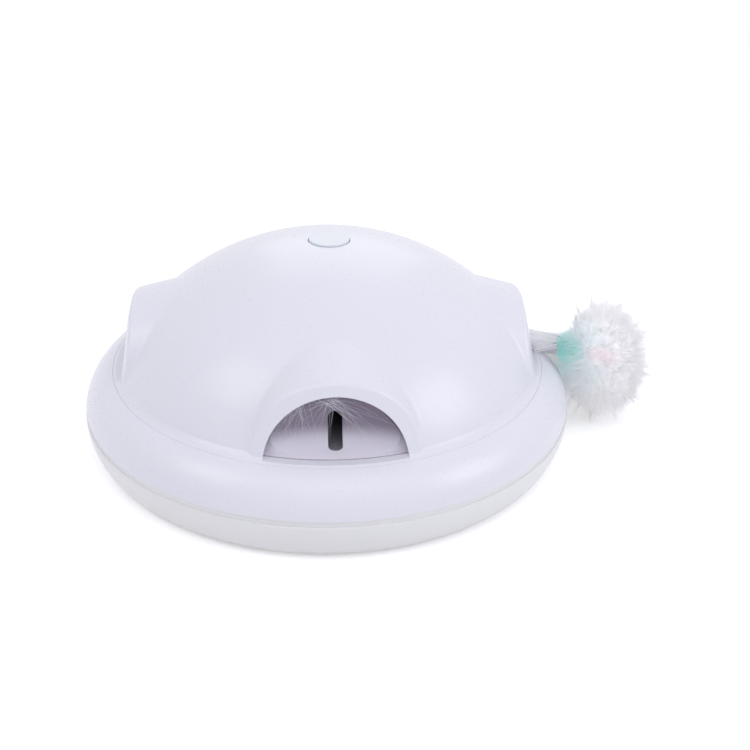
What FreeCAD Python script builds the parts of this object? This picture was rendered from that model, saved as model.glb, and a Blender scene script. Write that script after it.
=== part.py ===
import FreeCAD, Part
import math
import os

from FreeCAD import Matrix, Rotation, Vector

# Automatic cat toy: a saucer shaped housing with four arched windows, a
# turning drum behind them, and a fur puff on a flexible wand that leaves the
# right hand window.  Millimetres, +Z up, front window towards -Y, origin at
# the middle of the plane that the rubber foot ring stands on.

# Housing outline
brim_radius = 120.0        # widest radius of the rounded brim
brim_z = 17.4              # height of the widest circle
crown_round = 21.9         # roundness of the brim above the widest circle
heel_round = 25.7          # roundness of the brim below it
shell_wall = 2.5           # wall of the base pan and brim ring
floor_z = 1.5              # underside of the base pan
floor_wall = 2.5           # thickness of the pan's floor
floor_fillet = 3.0         # rounding between the pan's floor and side
parting_z = 21.5           # lower edge of the brim ring
groove_height = 3.0        # shadow groove under the parting line
groove_depth = 0.6
tongue_height = 2.5        # lip of the pan inside the brim ring
tongue_wall = 1.3
step_inset = 14.4          # the cover stands in a step this far inside the brim
step_width = 5.2           # from the step's wall to the ring's bore
seam_gap = 0.1             # between the cover's skirt and the step's wall
collar_z = 34.5            # underside of the thick collar at the bore
collar_drop = 1.0          # the screw posts end this much below the collar
slip_gap = 0.15            # gap round lips, tabs and board edges

# Dome cover
dome_rise = 60.35          # height of the dome above its seat
dome_spread = 4.4          # the crown's sphere would meet the seat this far outside the foot
dome_turn = 25.2           # the rounder side starts this far inside the foot
dome_setback = 0.4         # the dome's foot stands this far inside the skirt
skirt_width = 2.0          # concave skirt round the cover, out to the step's wall
skirt_rise = 3.6           # height of the skirt above the brim's edge
skirt_root = 0.3           # its upper edge lies this deep in the dome
dome_wall = 2.6
seat_z = 37.2              # floor of the step, on which the cover stands
hood_radius = 36.0         # outer radius of an arched hood
opening_radius = 30.5      # radius of its arched opening
hood_run = 25.5            # the hood's rising roof meets the dome this far behind the face's top
hood_drop = 2.5            # hood centre below the sill, along the face
face_setback = 0.1         # the leaning, coaxial hood faces stand this far inside the skirt
face_lean = 16.0
hood_tail = 7.0            # the roof runs on by this in the dome
hood_lead = 12.0           # how far the hood's tools start outside the face
hood_edge_round = 2.4
hood_blend = 5.0
window_count = 4
tab_offset = 13.0          # tabs stand this far each side of the corners, degrees
tab_width = 12.0
tab_wall = 1.6
tab_length = 7.0
tab_barb = 1.2
tab_inset = 0.9            # the tabs stand this far outside the wall's inner edge
tab_root = 1.0             # overlap of the tabs with the cover
barb_gap = 0.3             # play of the barbs under the collar

# Button on the dome
button_radius = 9.7
button_gap = 0.35
button_height = 2.4
hole_reach = 12.0          # how far the hole's cut runs to each side
button_stand = 0.4         # how far the cap stands above the dome
button_travel = 1.0
button_edge = 0.6
button_skirt = 1.5
button_skirt_length = 4.0
retain_radius = 11.0       # rim that keeps the cap under the dome
retain_height = 1.0
retain_gap = 0.3
stem_radius = 2.2
guide_wall = 1.8
guide_gap = 0.4
guide_top_gap = 1.2        # below the middle of the dome's ceiling
guide_height = 9.0
guide_flange_radius = 21.0
guide_flange_wall = 2.0
guide_post_radius = 3.0
guide_post_ring = 16.9
guide_azimuths = [30.0, 150.0, 270.0]
switch_side = 6.2
switch_height = 3.5
plunger_radius = 1.7
plunger_bore_depth = 3.0
spring_radius = 6.2
spring_wall = 0.9
board_wall = 1.6

# Turning drum
drum_gap = 3.1             # space between dome cover and drum
drum_wall = 2.0
drum_floor_z = 38.6        # top of the drum's floor, seen in the windows
drum_roof_z = 78.0
drum_edge_gap = 0.9        # between the drum's rim and the ring's bore
pocket_radius = 80.0       # each window looks into a shallow round pocket
pocket_depth = 15.5        # how far its foot lies inside the drum's rim
pocket_lean = 10.0         # its wall leans back, degrees
pocket_round = 9.0
slot_width = 6.2
slot_inset = 6.5           # the slots end this far inside the drum's rim
slot_top_z = 52.2
drum_post_radius = 3.5
drum_post_inset = 12.5
drum_post_height = 14.0

# Turntable, spindle and bearing
table_wall = 2.4
table_inset = 4.1          # the turntable's edge lies this far inside the drum's rim
table_hole_radius = 13.0
table_hole_ring = 58.0
hub_radius = 12.0
hub_top_z = 43.0
spindle_radius = 6.0
spindle_bore = 3.2
shoulder_radius = 8.5
shoulder_z = 24.0
spindle_tail = 3.0         # length of the spindle above the hub
spindle_flange_radius = 15.0
spindle_flange_wall = 3.0
pad_height = 5.0
pad_radius = 17.0
flange_screw_ring = 11.6
flange_screw_azimuths = [0.0, 120.0, 240.0]
washer_radius = 10.0
washer_wall = 1.0
bush_wall = 2.0
running_gap = 0.08
axial_gap = 0.1
clip_radius = 8.0
clip_wall = 1.0
clip_depth = 0.8
clip_mouth = 7.0

# Gears
gear_module = 1.0
wheel_teeth = 72
pinion_teeth = 12
gear_width = 4.6
pinion_width = 4.0
pressure_angle = 20.0
root_depth = 1.25          # dedendum in modules
flank_points = 6
backlash = 0.22
mesh_slack = 0.12          # the pinion stands this much further out
pinion_azimuth = 225.0
wheel_hole_radius = 7.0
wheel_hole_ring = 22.5
wheel_hole_count = 6

# Gear motor
motor_width = 12.0
motor_depth = 10.0
motor_length = 15.0
gearbox_length = 9.0
motor_shaft_radius = 1.5
bracket_wall = 2.5
bracket_height = 4.0
bracket_ear = 8.0
bracket_post_radius = 3.4

# Laser and mirror
laser_radius = 3.0
laser_length = 18.0
lens_wall = 1.4
lens_round = 6.0
mirror_length = 12.0
mirror_width = 8.0
mirror_wall = 1.2
mirror_z = 52.5
beam_drop = 5.4            # the beam leaves this much below level, degrees
block_height = 20.0
block_bore = 10.0
block_bore_height = 4.0
beam_hole_radius = 3.0

# Wand
pivot_x = 21.0
pivot_z = 50.0
pivot_pin_radius = 1.5
holder_width = 8.0
holder_height = 8.0
holder_back = 5.0
holder_length = 22.0
lug_wall = 2.4
lug_length = 7.0
lug_gap = 0.5
stop_gap = 0.3
stop_width = 4.0
stop_inset = 3.0
rod_radius = 1.4
rod_overhang = 1.0         # the rod ends this far outside the brim
rod_tip_z = 41.5
rod_socket = 8.0
collar_radius = 3.2
collar_length = 6.0
puff_ahead = 18.0          # the puff's middle, from the rod's end
puff_aside = 0.5
puff_below = 9.7
puff_half = (20.6, 27.0, 29.2)
neck_length = 9.0
neck_start_radius = 4.4
neck_end_radius = 6.2
wisp_aside = 6.0
wisp_stand = 3.0           # the wisp's middle stands this far off the pocket's wall
wisp_z = 56.0
wisp_half = (12.0, 4.0, 2.6)

# Batteries and board
cell_radius = 7.25
cell_length = 50.5
cell_count = 3
cell_pitch = 15.2
cell_gap = 0.3
bay_wall = 2.4
contact_wall = 0.5
contact_side = 10.0
contact_nub_radius = 2.5
contact_room = 2.2
spring_length = 1.2        # of a pressed contact spring
door_wall = 2.0
door_lip = 2.0
door_gap = 0.15
door_ear_width = 12.0
door_ear_length = 9.0
door_foot_gap = 4.2        # between the door's ear and the rubber ring
door_post_radius = 4.0
door_post_height = 10.0
main_board_size = (44.0, 34.0)
main_board_centre = (52.0, -19.0)
main_board_z = 10.0
board_post_radius = 3.0
board_post_inset = 4.0
chip_size = (10.0, 10.0, 1.6)
capacitor_radius = 3.5
capacitor_height = 9.0
plug_size = (5.0, 12.0, 6.0)

# Fasteners and feet
screw_radius = 1.25
screw_head_radius = 2.4
screw_head_wall = 1.6
screw_gap = 0.05
short_screw_length = 6.0
small_screw_length = 8.0
door_screw_length = 7.0
screw_tip_gap = 0.5        # between a screw's tip and the end of its hole
case_screw_inset = 12.5    # from the brim to the case screws
case_screw_length = 20.0
screw_tip_room = 1.0       # free thread beyond a screw's tip
case_screw_seat = 7.0
case_post_radius = 3.9
foot_height = 3.2
foot_inset = 24.0          # from the brim to the middle of the rubber ring under the pan
foot_width = 8.0
foot_pad_margin = 1.6
foot_pad_height = 1.5

# Places that follow from the sizes above
quarter = 360.0 / window_count
window_azimuths = [quarter * i for i in range(window_count)]
front_azimuth = -quarter
corner_azimuths = [quarter * (i + 0.5) for i in range(window_count)]
tab_azimuths = [a + side * tab_offset for a in corner_azimuths for side in (-1, 1)]
crown_centre_r = brim_radius - crown_round
heel_centre_r = brim_radius - heel_round
step_radius = brim_radius - step_inset
bore_radius = step_radius - step_width
cover_radius = step_radius - skirt_width
rim_z = brim_z + math.sqrt(crown_round ** 2 - (step_radius - crown_centre_r) ** 2)
sill_z = brim_z + math.sqrt(crown_round ** 2 - (cover_radius - crown_centre_r) ** 2)
dome_foot = cover_radius - dome_setback
dome_radius = ((dome_foot + dome_spread) ** 2 + dome_rise ** 2) / (2 * dome_rise)
dome_centre_z = seat_z + dome_rise - dome_radius
turn_sine = (dome_foot - dome_turn) / dome_radius
turn_cosine = math.sqrt(1 - turn_sine ** 2)
foot_offset_z = seat_z - dome_centre_z
side_shift = (dome_foot ** 2 + foot_offset_z ** 2 - dome_radius ** 2) / (
    2 * (dome_foot * turn_sine + foot_offset_z * turn_cosine - dome_radius))
side_radius = dome_radius - side_shift
side_r = side_shift * turn_sine
side_centre_z = dome_centre_z + side_shift * turn_cosine
floor_top = floor_z + floor_wall
pad_top = floor_top + pad_height
flange_top = pad_top + spindle_flange_wall
dome_top_z = dome_centre_z + dome_radius
ceiling_z = dome_top_z - dome_wall
guide_bore = retain_radius + guide_gap
guide_radius = guide_bore + guide_wall
guide_top_z = ceiling_z - guide_top_gap
guide_foot_z = guide_top_z - guide_height
switch_board_z = guide_foot_z - board_wall
switch_top_z = guide_foot_z + switch_height
cap_top_z = dome_top_z + button_stand
cap_foot_z = cap_top_z - button_height
stem_foot_z = switch_top_z + button_travel + retain_gap
drum_inset = dome_wall + drum_gap
drum_bottom_z = drum_floor_z - drum_wall
drum_rim_radius = bore_radius - drum_edge_gap
pocket_reach = drum_rim_radius - pocket_depth
pocket_ring = pocket_reach + pocket_radius
pocket_slope = math.tan(math.radians(pocket_lean))
slot_foot_radius = drum_rim_radius - slot_inset
drum_post_ring = drum_rim_radius - drum_post_inset
table_radius = drum_rim_radius - table_inset
wisp_centre = (-wisp_aside, (wisp_z - drum_floor_z) * pocket_slope - pocket_reach - wisp_stand, wisp_z)
case_screw_ring = brim_radius - case_screw_inset
foot_ring = brim_radius - foot_inset
table_bottom_z = drum_bottom_z - table_wall
gear_z = table_bottom_z - gear_width
pinion_z = table_bottom_z - (gear_width + pinion_width) / 2
washer_z = shoulder_z + axial_gap
hub_foot_z = washer_z + washer_wall
clip_z = hub_top_z + axial_gap
spindle_top_z = hub_top_z + spindle_tail
bush_bore = spindle_radius + running_gap
bush_radius = bush_bore + bush_wall
gear_distance = gear_module * (wheel_teeth + pinion_teeth) / 2 + mesh_slack
motor_top_z = floor_top + motor_length
gearbox_top_z = motor_top_z + gearbox_length
bracket_z = gearbox_top_z - bracket_height
bracket_ear_y = motor_width / 2 + bracket_wall + bracket_ear / 2
pivot_pin_half = holder_width / 2 + lug_gap + lug_wall
holder_end_x = pivot_x + holder_length
rod_end = Vector(brim_radius + rod_overhang, 0, rod_tip_z)
rod_way = (rod_end - Vector(pivot_x, 0, pivot_z)).normalize()
puff_centre = (rod_end.x + puff_ahead, puff_aside, rod_tip_z - puff_below)
bay_half_x = cell_length / 2 + contact_room
bay_half_y = cell_count * cell_pitch / 2
cell_row_y = foot_ring - foot_width / 2 - door_foot_gap - door_ear_length - door_lip - bay_half_y
bay_floor_z = floor_z + door_wall
cell_z = bay_floor_z + cell_gap + cell_radius
bay_top_z = cell_z + cell_radius + cell_gap
cell_rows = [cell_row_y + cell_pitch * (i - (cell_count - 1) / 2) for i in range(cell_count)]
door_screw_y = cell_row_y + bay_half_y + door_lip + door_ear_length / 2
tiny = 0.002


def polar(radius, azimuth, z=0.0):
    """Point at a radius and an azimuth in degrees, counted from +X."""
    a = math.radians(azimuth)
    return Vector(radius * math.cos(a), radius * math.sin(a), z)


def turned(shape, azimuth):
    """Copy of a shape turned about the Z axis."""
    copy = shape.copy()
    copy.rotate(Vector(0, 0, 0), Vector(0, 0, 1), azimuth)
    return copy


def ringed(shape, azimuths):
    """One turned copy of a shape at each azimuth."""
    return [turned(shape, azimuth) for azimuth in azimuths]


def fused(first, *others):
    """Union of shapes, with split faces merged."""
    return first.fuse(list(others)).removeSplitter()


def rod(radius, start, end):
    """Round bar between two points."""
    start, end = Vector(start), Vector(end)
    return Part.makeCylinder(radius, (end - start).Length, start, end - start)


def disc(radius, low, high, centre=(0.0, 0.0)):
    """Upright cylinder between two heights."""
    return Part.makeCylinder(radius, high - low, Vector(centre[0], centre[1], low))


def tube(outer, inner, low, high, centre=(0.0, 0.0)):
    """Upright hollow cylinder between two heights."""
    return disc(outer, low, high, centre).cut(disc(inner, low, high, centre))


def block(x_span, y_span, z_span):
    """Box between three pairs of limits."""
    corner = Vector(x_span[0], y_span[0], z_span[0])
    return Part.makeBox(x_span[1] - x_span[0], y_span[1] - y_span[0], z_span[1] - z_span[0], corner)


def ellipsoid(centre, half):
    """Solid ellipsoid with the given half axes."""
    stretch = Matrix()
    stretch.scale(*half)
    return Part.makeSphere(1.0).transformGeometry(stretch).translated(Vector(*centre))


def spun(start, *steps):
    """Solid of revolution about Z: a step is an end point, or an arc's middle and end."""
    here = Vector(start[0], 0, start[1])
    edges = []
    for step in list(steps) + [(start,)]:
        points = [Vector(p[0], 0, p[1]) for p in step]
        if len(points) == 1:
            edges.append(Part.makeLine(here, points[0]))
        else:
            edges.append(Part.Arc(here, points[0], points[1]).toShape())
        here = points[-1]
    return Part.Face(Part.Wire(edges)).revolve(Vector(0, 0, 0), Vector(0, 0, 1), 360)


def on_arc(centre_r, round_radius, z):
    """Point at height z on the outer side of an arc of the brim."""
    rise = z - brim_z
    return (centre_r + math.sqrt(round_radius ** 2 - rise ** 2), z)


def between(centre_r, round_radius, z_low, z_high):
    """Point of the arc at the middle of two heights."""
    return on_arc(centre_r, round_radius, (z_low + z_high) / 2)


def screw(head_point, direction, length, radius=screw_radius, head=screw_head_radius):
    """Pan head screw whose head seats at head_point and whose shank runs along direction."""
    way = Vector(direction).normalize()
    seat = Vector(head_point)
    shank = Part.makeCylinder(radius, length, seat, way)
    cap = Part.makeCylinder(head, screw_head_wall, seat - way * screw_head_wall, way)
    slot_depth = screw_head_wall / 2
    recess = Part.makeCylinder(radius / 2, slot_depth, seat - way * screw_head_wall, way)
    return shank.fuse(cap).cut(recess).removeSplitter()


def involute_gear(teeth, low, high):
    """Spur gear about Z with involute flanks, thinned by the backlash."""
    pitch = gear_module * teeth / 2
    alpha = math.radians(pressure_angle)
    base = pitch * math.cos(alpha)
    tip = pitch + gear_module
    root = pitch - root_depth * gear_module
    half = math.pi / (2 * teeth) - backlash / (4 * pitch) + math.tan(alpha) - alpha
    start = max(base, root + gear_module / 20)

    def at(radius, angle):
        return Vector(radius * math.cos(angle), radius * math.sin(angle), low)

    def flank(side, centre):
        points = []
        for i in range(flank_points):
            r = start + (tip - start) * i / (flank_points - 1)
            roll = math.sqrt(max((r / base) ** 2 - 1, 0))
            points.append(at(r, centre + side * (half - (roll - math.atan(roll)))))
        return points

    def foot(point):
        return at(root, math.atan2(point.y, point.x))

    edges = []
    step = 2 * math.pi / teeth
    for i in range(teeth):
        centre = i * step
        right, left = flank(-1, centre), flank(1, centre)
        for points in (right, left):
            curve = Part.BSplineCurve()
            curve.interpolate(points)
            edges.append(curve.toShape())
        following = foot(flank(-1, centre + step)[0])
        edges.append(Part.makeLine(foot(right[0]), right[0]))
        edges.append(Part.Arc(right[-1], at(tip, centre), left[-1]).toShape())
        edges.append(Part.makeLine(left[0], foot(left[0])))
        edges.append(Part.Arc(foot(left[0]), at(root, centre + step / 2), following).toShape())
    wire = Part.Wire(Part.__sortEdges__(edges))
    return Part.Face(wire).extrude(Vector(0, 0, high - low))


def edges_where(shape, test):
    """Edges of a shape whose points all pass a test."""
    found = []
    for edge in shape.Edges:
        first, last = edge.ParameterRange
        points = [edge.valueAt(first + (last - first) * t) for t in (0.2, 0.5, 0.8)]
        if all(test(p) for p in points):
            found.append(edge)
    return found


def face_radius(z, inset=0.0):
    """Radius of the leaning hood faces at a height."""
    lean = math.radians(face_lean)
    return cover_radius - face_setback - (z - seat_z) * math.tan(lean) - inset / math.cos(lean)


def hood_centre():
    """Centre of the hood's arch on the face, for the window towards +X."""
    lean = math.radians(face_lean)
    return Vector(
        face_radius(sill_z) + hood_drop * math.sin(lean), 0, sill_z - hood_drop * math.cos(lean)
    )


def roof_angle():
    """Rise of the hood's roof, which meets the dome at the end of its run."""
    lean = math.radians(face_lean)
    top = hood_centre() + Vector(-math.sin(lean), 0, math.cos(lean)) * hood_radius
    end_z = dome_centre_z + math.sqrt(dome_radius ** 2 - (top.x - hood_run) ** 2)
    return math.atan2(end_z - top.z, hood_run)


def hood_body(radius, inset, edge_round=0.0):
    """Arched hood towards +X, ending at the leaning face, less an inset."""
    lean = math.radians(face_lean)
    roof = roof_angle()
    inward = Vector(-math.cos(roof), 0, math.sin(roof))
    normal = Vector(math.cos(lean), 0, math.sin(lean))
    start = hood_centre() - inward * hood_lead
    arch = Part.Face(Part.Wire(Part.makeCircle(radius, start, normal)))
    low, high = seat_z - inset, dome_top_z
    limit = spun((0, low), ((face_radius(low, inset), low),),
                 ((face_radius(high, inset), high),), ((0, high),))
    hood = arch.extrude(inward * (hood_lead + hood_run / math.cos(roof) + hood_tail)).common(limit)

    def on_rim(p):
        return abs(math.hypot(p.x, p.y) - face_radius(p.z, inset)) < tiny and p.z > low + tiny

    return hood.makeFillet(edge_round, edges_where(hood, on_rim)) if edge_round else hood


def dome_r(z, inset=0.0):
    """Radius of the dome at a height, less an inset square to its face."""
    if z > dome_centre_z + (dome_radius - inset) * turn_cosine:
        return math.sqrt((dome_radius - inset) ** 2 - (z - dome_centre_z) ** 2)
    return side_r + math.sqrt((side_radius - inset) ** 2 - (z - side_centre_z) ** 2)


def dome_body(inset, low, high):
    """Solid inside the dome's two arcs between two heights, less an inset."""
    radius = dome_radius - inset
    turn = (radius * turn_sine, dome_centre_z + radius * turn_cosine)
    low_mid_z = (low + turn[1]) / 2
    steps = [((dome_r(low, inset), low),), ((dome_r(low_mid_z, inset), low_mid_z), turn)]
    if high < dome_centre_z + radius:
        high_mid_z = (turn[1] + high) / 2
        steps += [((dome_r(high_mid_z, inset), high_mid_z), (dome_r(high, inset), high)), ((0, high),)]
    else:
        half_turn = math.asin(turn_sine) / 2
        middle = (radius * math.sin(half_turn), dome_centre_z + radius * math.cos(half_turn))
        steps.append((middle, (0, dome_centre_z + radius)))
    return spun((0, low), *steps)


def skirt():
    """Concave skirt that runs on from the brim's surface up into the dome."""
    foot_r = step_radius - seam_gap
    end_z = rim_z + skirt_rise
    end_r = dome_r(end_z) - skirt_root
    brim_way = Vector(foot_r - crown_centre_r, 0, rim_z - brim_z).normalize()
    foot, end = Vector(foot_r, 0, rim_z), Vector(end_r, 0, end_z)
    chord = end - foot
    cove_round = chord.Length ** 2 / (2 * brim_way.dot(chord))
    centre = foot + brim_way * cove_round
    middle = centre + ((foot + end) / 2 - centre).normalize() * cove_round
    root_r = dome_r(end_z, dome_wall)
    return spun((root_r, seat_z), ((foot_r, seat_z),), ((foot_r, rim_z),),
                ((middle.x, middle.z), (end_r, end_z)), ((root_r, end_z),))


def dome_outside():
    """Outer body of the dome cover, with blended hoods and the skirt."""
    cap = dome_body(0.0, seat_z, dome_top_z)
    hoods = ringed(hood_body(hood_radius, 0.0, hood_edge_round), window_azimuths)
    body = cap.fuse(hoods).removeSplitter()
    turn_z = dome_centre_z + dome_radius * turn_cosine

    def on_join(p):
        if p.z < seat_z + tiny or p.z > dome_top_z - tiny or abs(p.z - turn_z) < tiny:
            return False
        return abs(math.hypot(p.x, p.y) - dome_r(p.z)) < tiny

    return body.makeFillet(hood_blend, edges_where(body, on_join)).fuse(skirt())


def window_cut():
    """Tool for the arched opening towards +X, square to the face and above the threshold."""
    lean = math.radians(face_lean)
    normal = Vector(math.cos(lean), 0, math.sin(lean))
    start = hood_centre() - normal * hood_lead
    arch = Part.makeCylinder(opening_radius, 2 * hood_lead, start, normal)
    return arch.common(block((0, 2 * step_radius), (-hood_radius, hood_radius), (sill_z, dome_top_z)))


def tab_boxes(grow):
    """Snap tab of the cover towards +X and its barb, grown by a gap."""
    inner = dome_r(seat_z, dome_wall) + tab_inset
    low = seat_z - tab_length
    across = (-tab_width / 2 - grow, tab_width / 2 + grow)
    leaf = block((inner - grow, inner + tab_wall + grow), across, (low, seat_z + tab_root))
    barb_top = collar_z - barb_gap
    barb = block((inner + tab_wall, inner + tab_wall + tab_barb), across, (barb_top - tab_barb, barb_top))
    return leaf, barb


def build_dome_cover():
    """Upper cover with four hoods, button hole, posts and snap tabs."""
    inside = dome_body(dome_wall, seat_z - dome_wall, dome_top_z)
    hollow = inside.fuse(ringed(hood_body(hood_radius - dome_wall, dome_wall), window_azimuths))
    cover = dome_outside().cut(hollow)
    cover = cover.cut(ringed(window_cut(), window_azimuths))
    posts = [disc(guide_post_radius, guide_foot_z + guide_flange_wall, dome_top_z, polar(guide_post_ring, a))
             for a in guide_azimuths]
    ball = dome_body(dome_wall / 2, seat_z, dome_top_z)
    posts = [post.common(ball) for post in posts]
    leaf, barb = tab_boxes(0.0)
    tabs = ringed(leaf.fuse(barb), tab_azimuths)
    cover = fused(cover, *posts, *tabs)
    holes = [disc(screw_radius + screw_gap, guide_foot_z, guide_foot_z + small_screw_length,
                  polar(guide_post_ring, a)) for a in guide_azimuths]
    button_hole = disc(button_radius + button_gap, dome_top_z - hole_reach, dome_top_z + hole_reach)
    return cover.cut([button_hole] + holes)


def build_brim_ring():
    """Rounded ring between base pan and dome cover, with screw posts and tab slots."""
    outer, inner = crown_round, crown_round - shell_wall
    low = on_arc(crown_centre_r, outer, parting_z)
    inner_low = on_arc(crown_centre_r, inner, parting_z)
    inner_high = on_arc(crown_centre_r, inner, collar_z)
    ring = spun(
        low,
        (between(crown_centre_r, outer, parting_z, rim_z), (step_radius, rim_z)),
        ((step_radius, seat_z),),
        ((bore_radius, seat_z),),
        ((bore_radius, collar_z),),
        (inner_high,),
        (between(crown_centre_r, inner, collar_z, parting_z), inner_low),
    )
    posts = [disc(case_post_radius, parting_z, collar_z - collar_drop, polar(case_screw_ring, a))
             for a in corner_azimuths]
    ring = fused(ring, *posts)
    holes = [disc(screw_radius + screw_gap, parting_z, case_screw_seat + case_screw_length + screw_tip_room,
                  polar(case_screw_ring, a)) for a in corner_azimuths]
    slots = ringed(tab_boxes(slip_gap)[0], tab_azimuths)
    return ring.cut(holes + slots)


def pan_shell():
    """Base pan as a turned shell with its groove and inner lip."""
    groove_z = parting_z - groove_height
    heel_in, crown_in = heel_round - shell_wall, crown_round - shell_wall
    groove = on_arc(crown_centre_r, crown_round, groove_z)
    groove_r = on_arc(crown_centre_r, crown_round, parting_z)[0] - groove_depth
    lip_foot = on_arc(crown_centre_r, crown_in, parting_z)[0] - slip_gap
    lip_top = on_arc(crown_centre_r, crown_in, parting_z + tongue_height)[0] - slip_gap
    lip_back = lip_top - tongue_wall
    foot = on_arc(heel_centre_r, heel_round, floor_z)
    shell = spun(
        (0, floor_z),
        (foot,),
        (between(heel_centre_r, heel_round, floor_z, brim_z), (brim_radius, brim_z)),
        (between(crown_centre_r, crown_round, brim_z, groove_z), groove),
        ((groove_r, groove_z),),
        ((groove_r, parting_z),),
        ((lip_foot, parting_z),),
        ((lip_top, parting_z + tongue_height),),
        ((lip_back, parting_z + tongue_height),),
        ((lip_back, groove_z),),
        ((brim_radius - shell_wall, brim_z),),
        (between(heel_centre_r, heel_in, brim_z, floor_top), on_arc(heel_centre_r, heel_in, floor_top)),
        ((0, floor_top),),
    )

    def on_bottom_rim(p):
        return abs(p.z - floor_z) < tiny and abs(math.hypot(p.x, p.y) - foot[0]) < tiny

    return shell.makeFillet(floor_fillet, edges_where(shell, on_bottom_rim))


def bay_block(grow, low, high):
    """Upright block over the battery bay, grown sideways."""
    x = bay_half_x + grow
    y = bay_half_y + grow
    return block((-x, x), (cell_row_y - y, cell_row_y + y), (low, high))


def door_plate(grow):
    """Outline of the battery door with its screw ear, grown by a gap."""
    plate = bay_block(door_lip + grow, floor_z, bay_floor_z)
    half = door_ear_width / 2 + grow
    y = cell_row_y + bay_half_y
    ear = block((-half, half), (y, y + door_lip + door_ear_length + grow), (floor_z, bay_floor_z))
    return fused(plate, ear)


def board_holes():
    """Places of the main board's screws."""
    half_x = main_board_size[0] / 2 - board_post_inset
    half_y = main_board_size[1] / 2 - board_post_inset
    cx, cy = main_board_centre
    return [(cx + i * half_x, cy + j * half_y) for i in (-1, 1) for j in (-1, 1)]


def bracket_places():
    """Places of the motor bracket's screws."""
    spots = [Vector(gear_distance, side * bracket_ear_y, 0) for side in (-1, 1)]
    turn = Rotation(Vector(0, 0, 1), pinion_azimuth)
    return [turn.multVec(spot) for spot in spots]


def build_base_pan():
    """Bottom half of the housing with its posts, pads and battery bay."""
    pan = pan_shell()
    posts = [disc(case_post_radius, floor_top - tiny, parting_z, polar(case_screw_ring, a))
             for a in corner_azimuths]
    foot_pad = foot_band(foot_pad_margin, floor_top - tiny, floor_top + foot_pad_height)
    board = [disc(board_post_radius, floor_top - tiny, main_board_z, spot) for spot in board_holes()]
    motor = [disc(bracket_post_radius, floor_top - tiny, bracket_z, spot) for spot in bracket_places()]
    pad = disc(pad_radius, floor_top - tiny, pad_top)
    bay = bay_block(bay_wall, floor_z, bay_top_z + bay_wall)
    door_post = disc(door_post_radius, bay_floor_z, bay_floor_z + door_post_height, (0, door_screw_y))
    pan = fused(pan, *posts, *board, *motor, foot_pad, pad, bay, door_post)
    thread = screw_radius + screw_gap
    cuts = [bay_block(0.0, floor_z, bay_top_z), door_plate(door_gap), foot_band(0.0, floor_z, foot_height)]
    for a in corner_azimuths:
        spot = polar(case_screw_ring, a)
        cuts.append(disc(screw_head_radius + slip_gap, floor_z, case_screw_seat, spot))
        cuts.append(disc(thread, floor_z, parting_z, spot))
    cuts += [disc(thread, main_board_z - short_screw_length, main_board_z, spot) for spot in board_holes()]
    cuts += [disc(thread, bracket_z - small_screw_length, bracket_z, spot) for spot in bracket_places()]
    cuts += [disc(thread, flange_top - small_screw_length, pad_top, polar(flange_screw_ring, a))
             for a in flange_screw_azimuths]
    cuts.append(disc(thread, bay_floor_z, bay_floor_z + small_screw_length, (0, door_screw_y)))
    return pan.cut(cuts)


def build_battery_door():
    """Screwed door of the battery bay."""
    door = door_plate(0.0)
    hole = disc(screw_radius + screw_gap, floor_z, bay_floor_z, (0, door_screw_y))
    sink = disc(screw_head_radius + slip_gap, floor_z, floor_z + screw_head_wall, (0, door_screw_y))
    return door.cut([hole, sink])


def battery_cells():
    """Three AA cells lying side by side, with their raised caps."""
    nub = contact_room - contact_wall - spring_length
    cells = []
    for i, y in enumerate(cell_rows):
        way = 1 if i % 2 == 0 else -1
        can = rod(cell_radius, (-way * cell_length / 2, y, cell_z), (way * (cell_length / 2 - nub), y, cell_z))
        cap = rod(contact_nub_radius, (way * (cell_length / 2 - nub), y, cell_z), (way * cell_length / 2, y, cell_z))
        cells.append(fused(can, cap))
    return Part.makeCompound(cells)


def battery_contacts():
    """Six contact plates with the springs that press on the cells."""
    contacts = []
    for y in cell_rows:
        for side in (-1, 1):
            half = contact_side / 2
            x_wall, x_plate = side * bay_half_x, side * (bay_half_x - contact_wall)
            plate = block(sorted((x_wall, x_plate)), (y - half, y + half), (cell_z - half, cell_z + half))
            spring = rod(contact_nub_radius, (x_plate, y, cell_z), (side * cell_length / 2, y, cell_z))
            contacts.append(fused(plate, spring))
    return Part.makeCompound(contacts)


def foot_band(grow, low, high):
    """Ring over the rubber foot, grown sideways."""
    half = foot_width / 2 + grow
    return tube(foot_ring + half, foot_ring - half, low, high)


def build_spindle():
    """Fixed hollow spindle with its flange, shoulder and clip groove."""
    spindle = fused(
        disc(spindle_flange_radius, pad_top, flange_top),
        disc(shoulder_radius, flange_top, shoulder_z),
        disc(spindle_radius, shoulder_z, spindle_top_z),
    )
    holes = [disc(screw_radius + screw_gap, pad_top, flange_top, polar(flange_screw_ring, a))
             for a in flange_screw_azimuths]
    groove = tube(spindle_radius, spindle_radius - clip_depth, clip_z, clip_z + clip_wall)
    return spindle.cut([disc(spindle_bore, pad_top, spindle_top_z), groove] + holes)


def build_retaining_clip():
    """Open ring that holds the hub on the spindle."""
    ring = tube(clip_radius, spindle_radius - clip_depth, clip_z, clip_z + clip_wall)
    half = clip_mouth / 2
    return ring.cut(block((0, clip_radius), (-half, half), (clip_z, clip_z + clip_wall)))


def build_gear_motor():
    """Small motor can under its gearbox, towards +X before it is turned."""
    w, d = motor_width / 2, motor_depth / 2
    can = block((gear_distance - d, gear_distance + d), (-w, w), (floor_top, motor_top_z))
    round_can = disc(w, floor_top, motor_top_z, (gear_distance, 0))
    return turned(can.common(round_can), pinion_azimuth)


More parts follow.
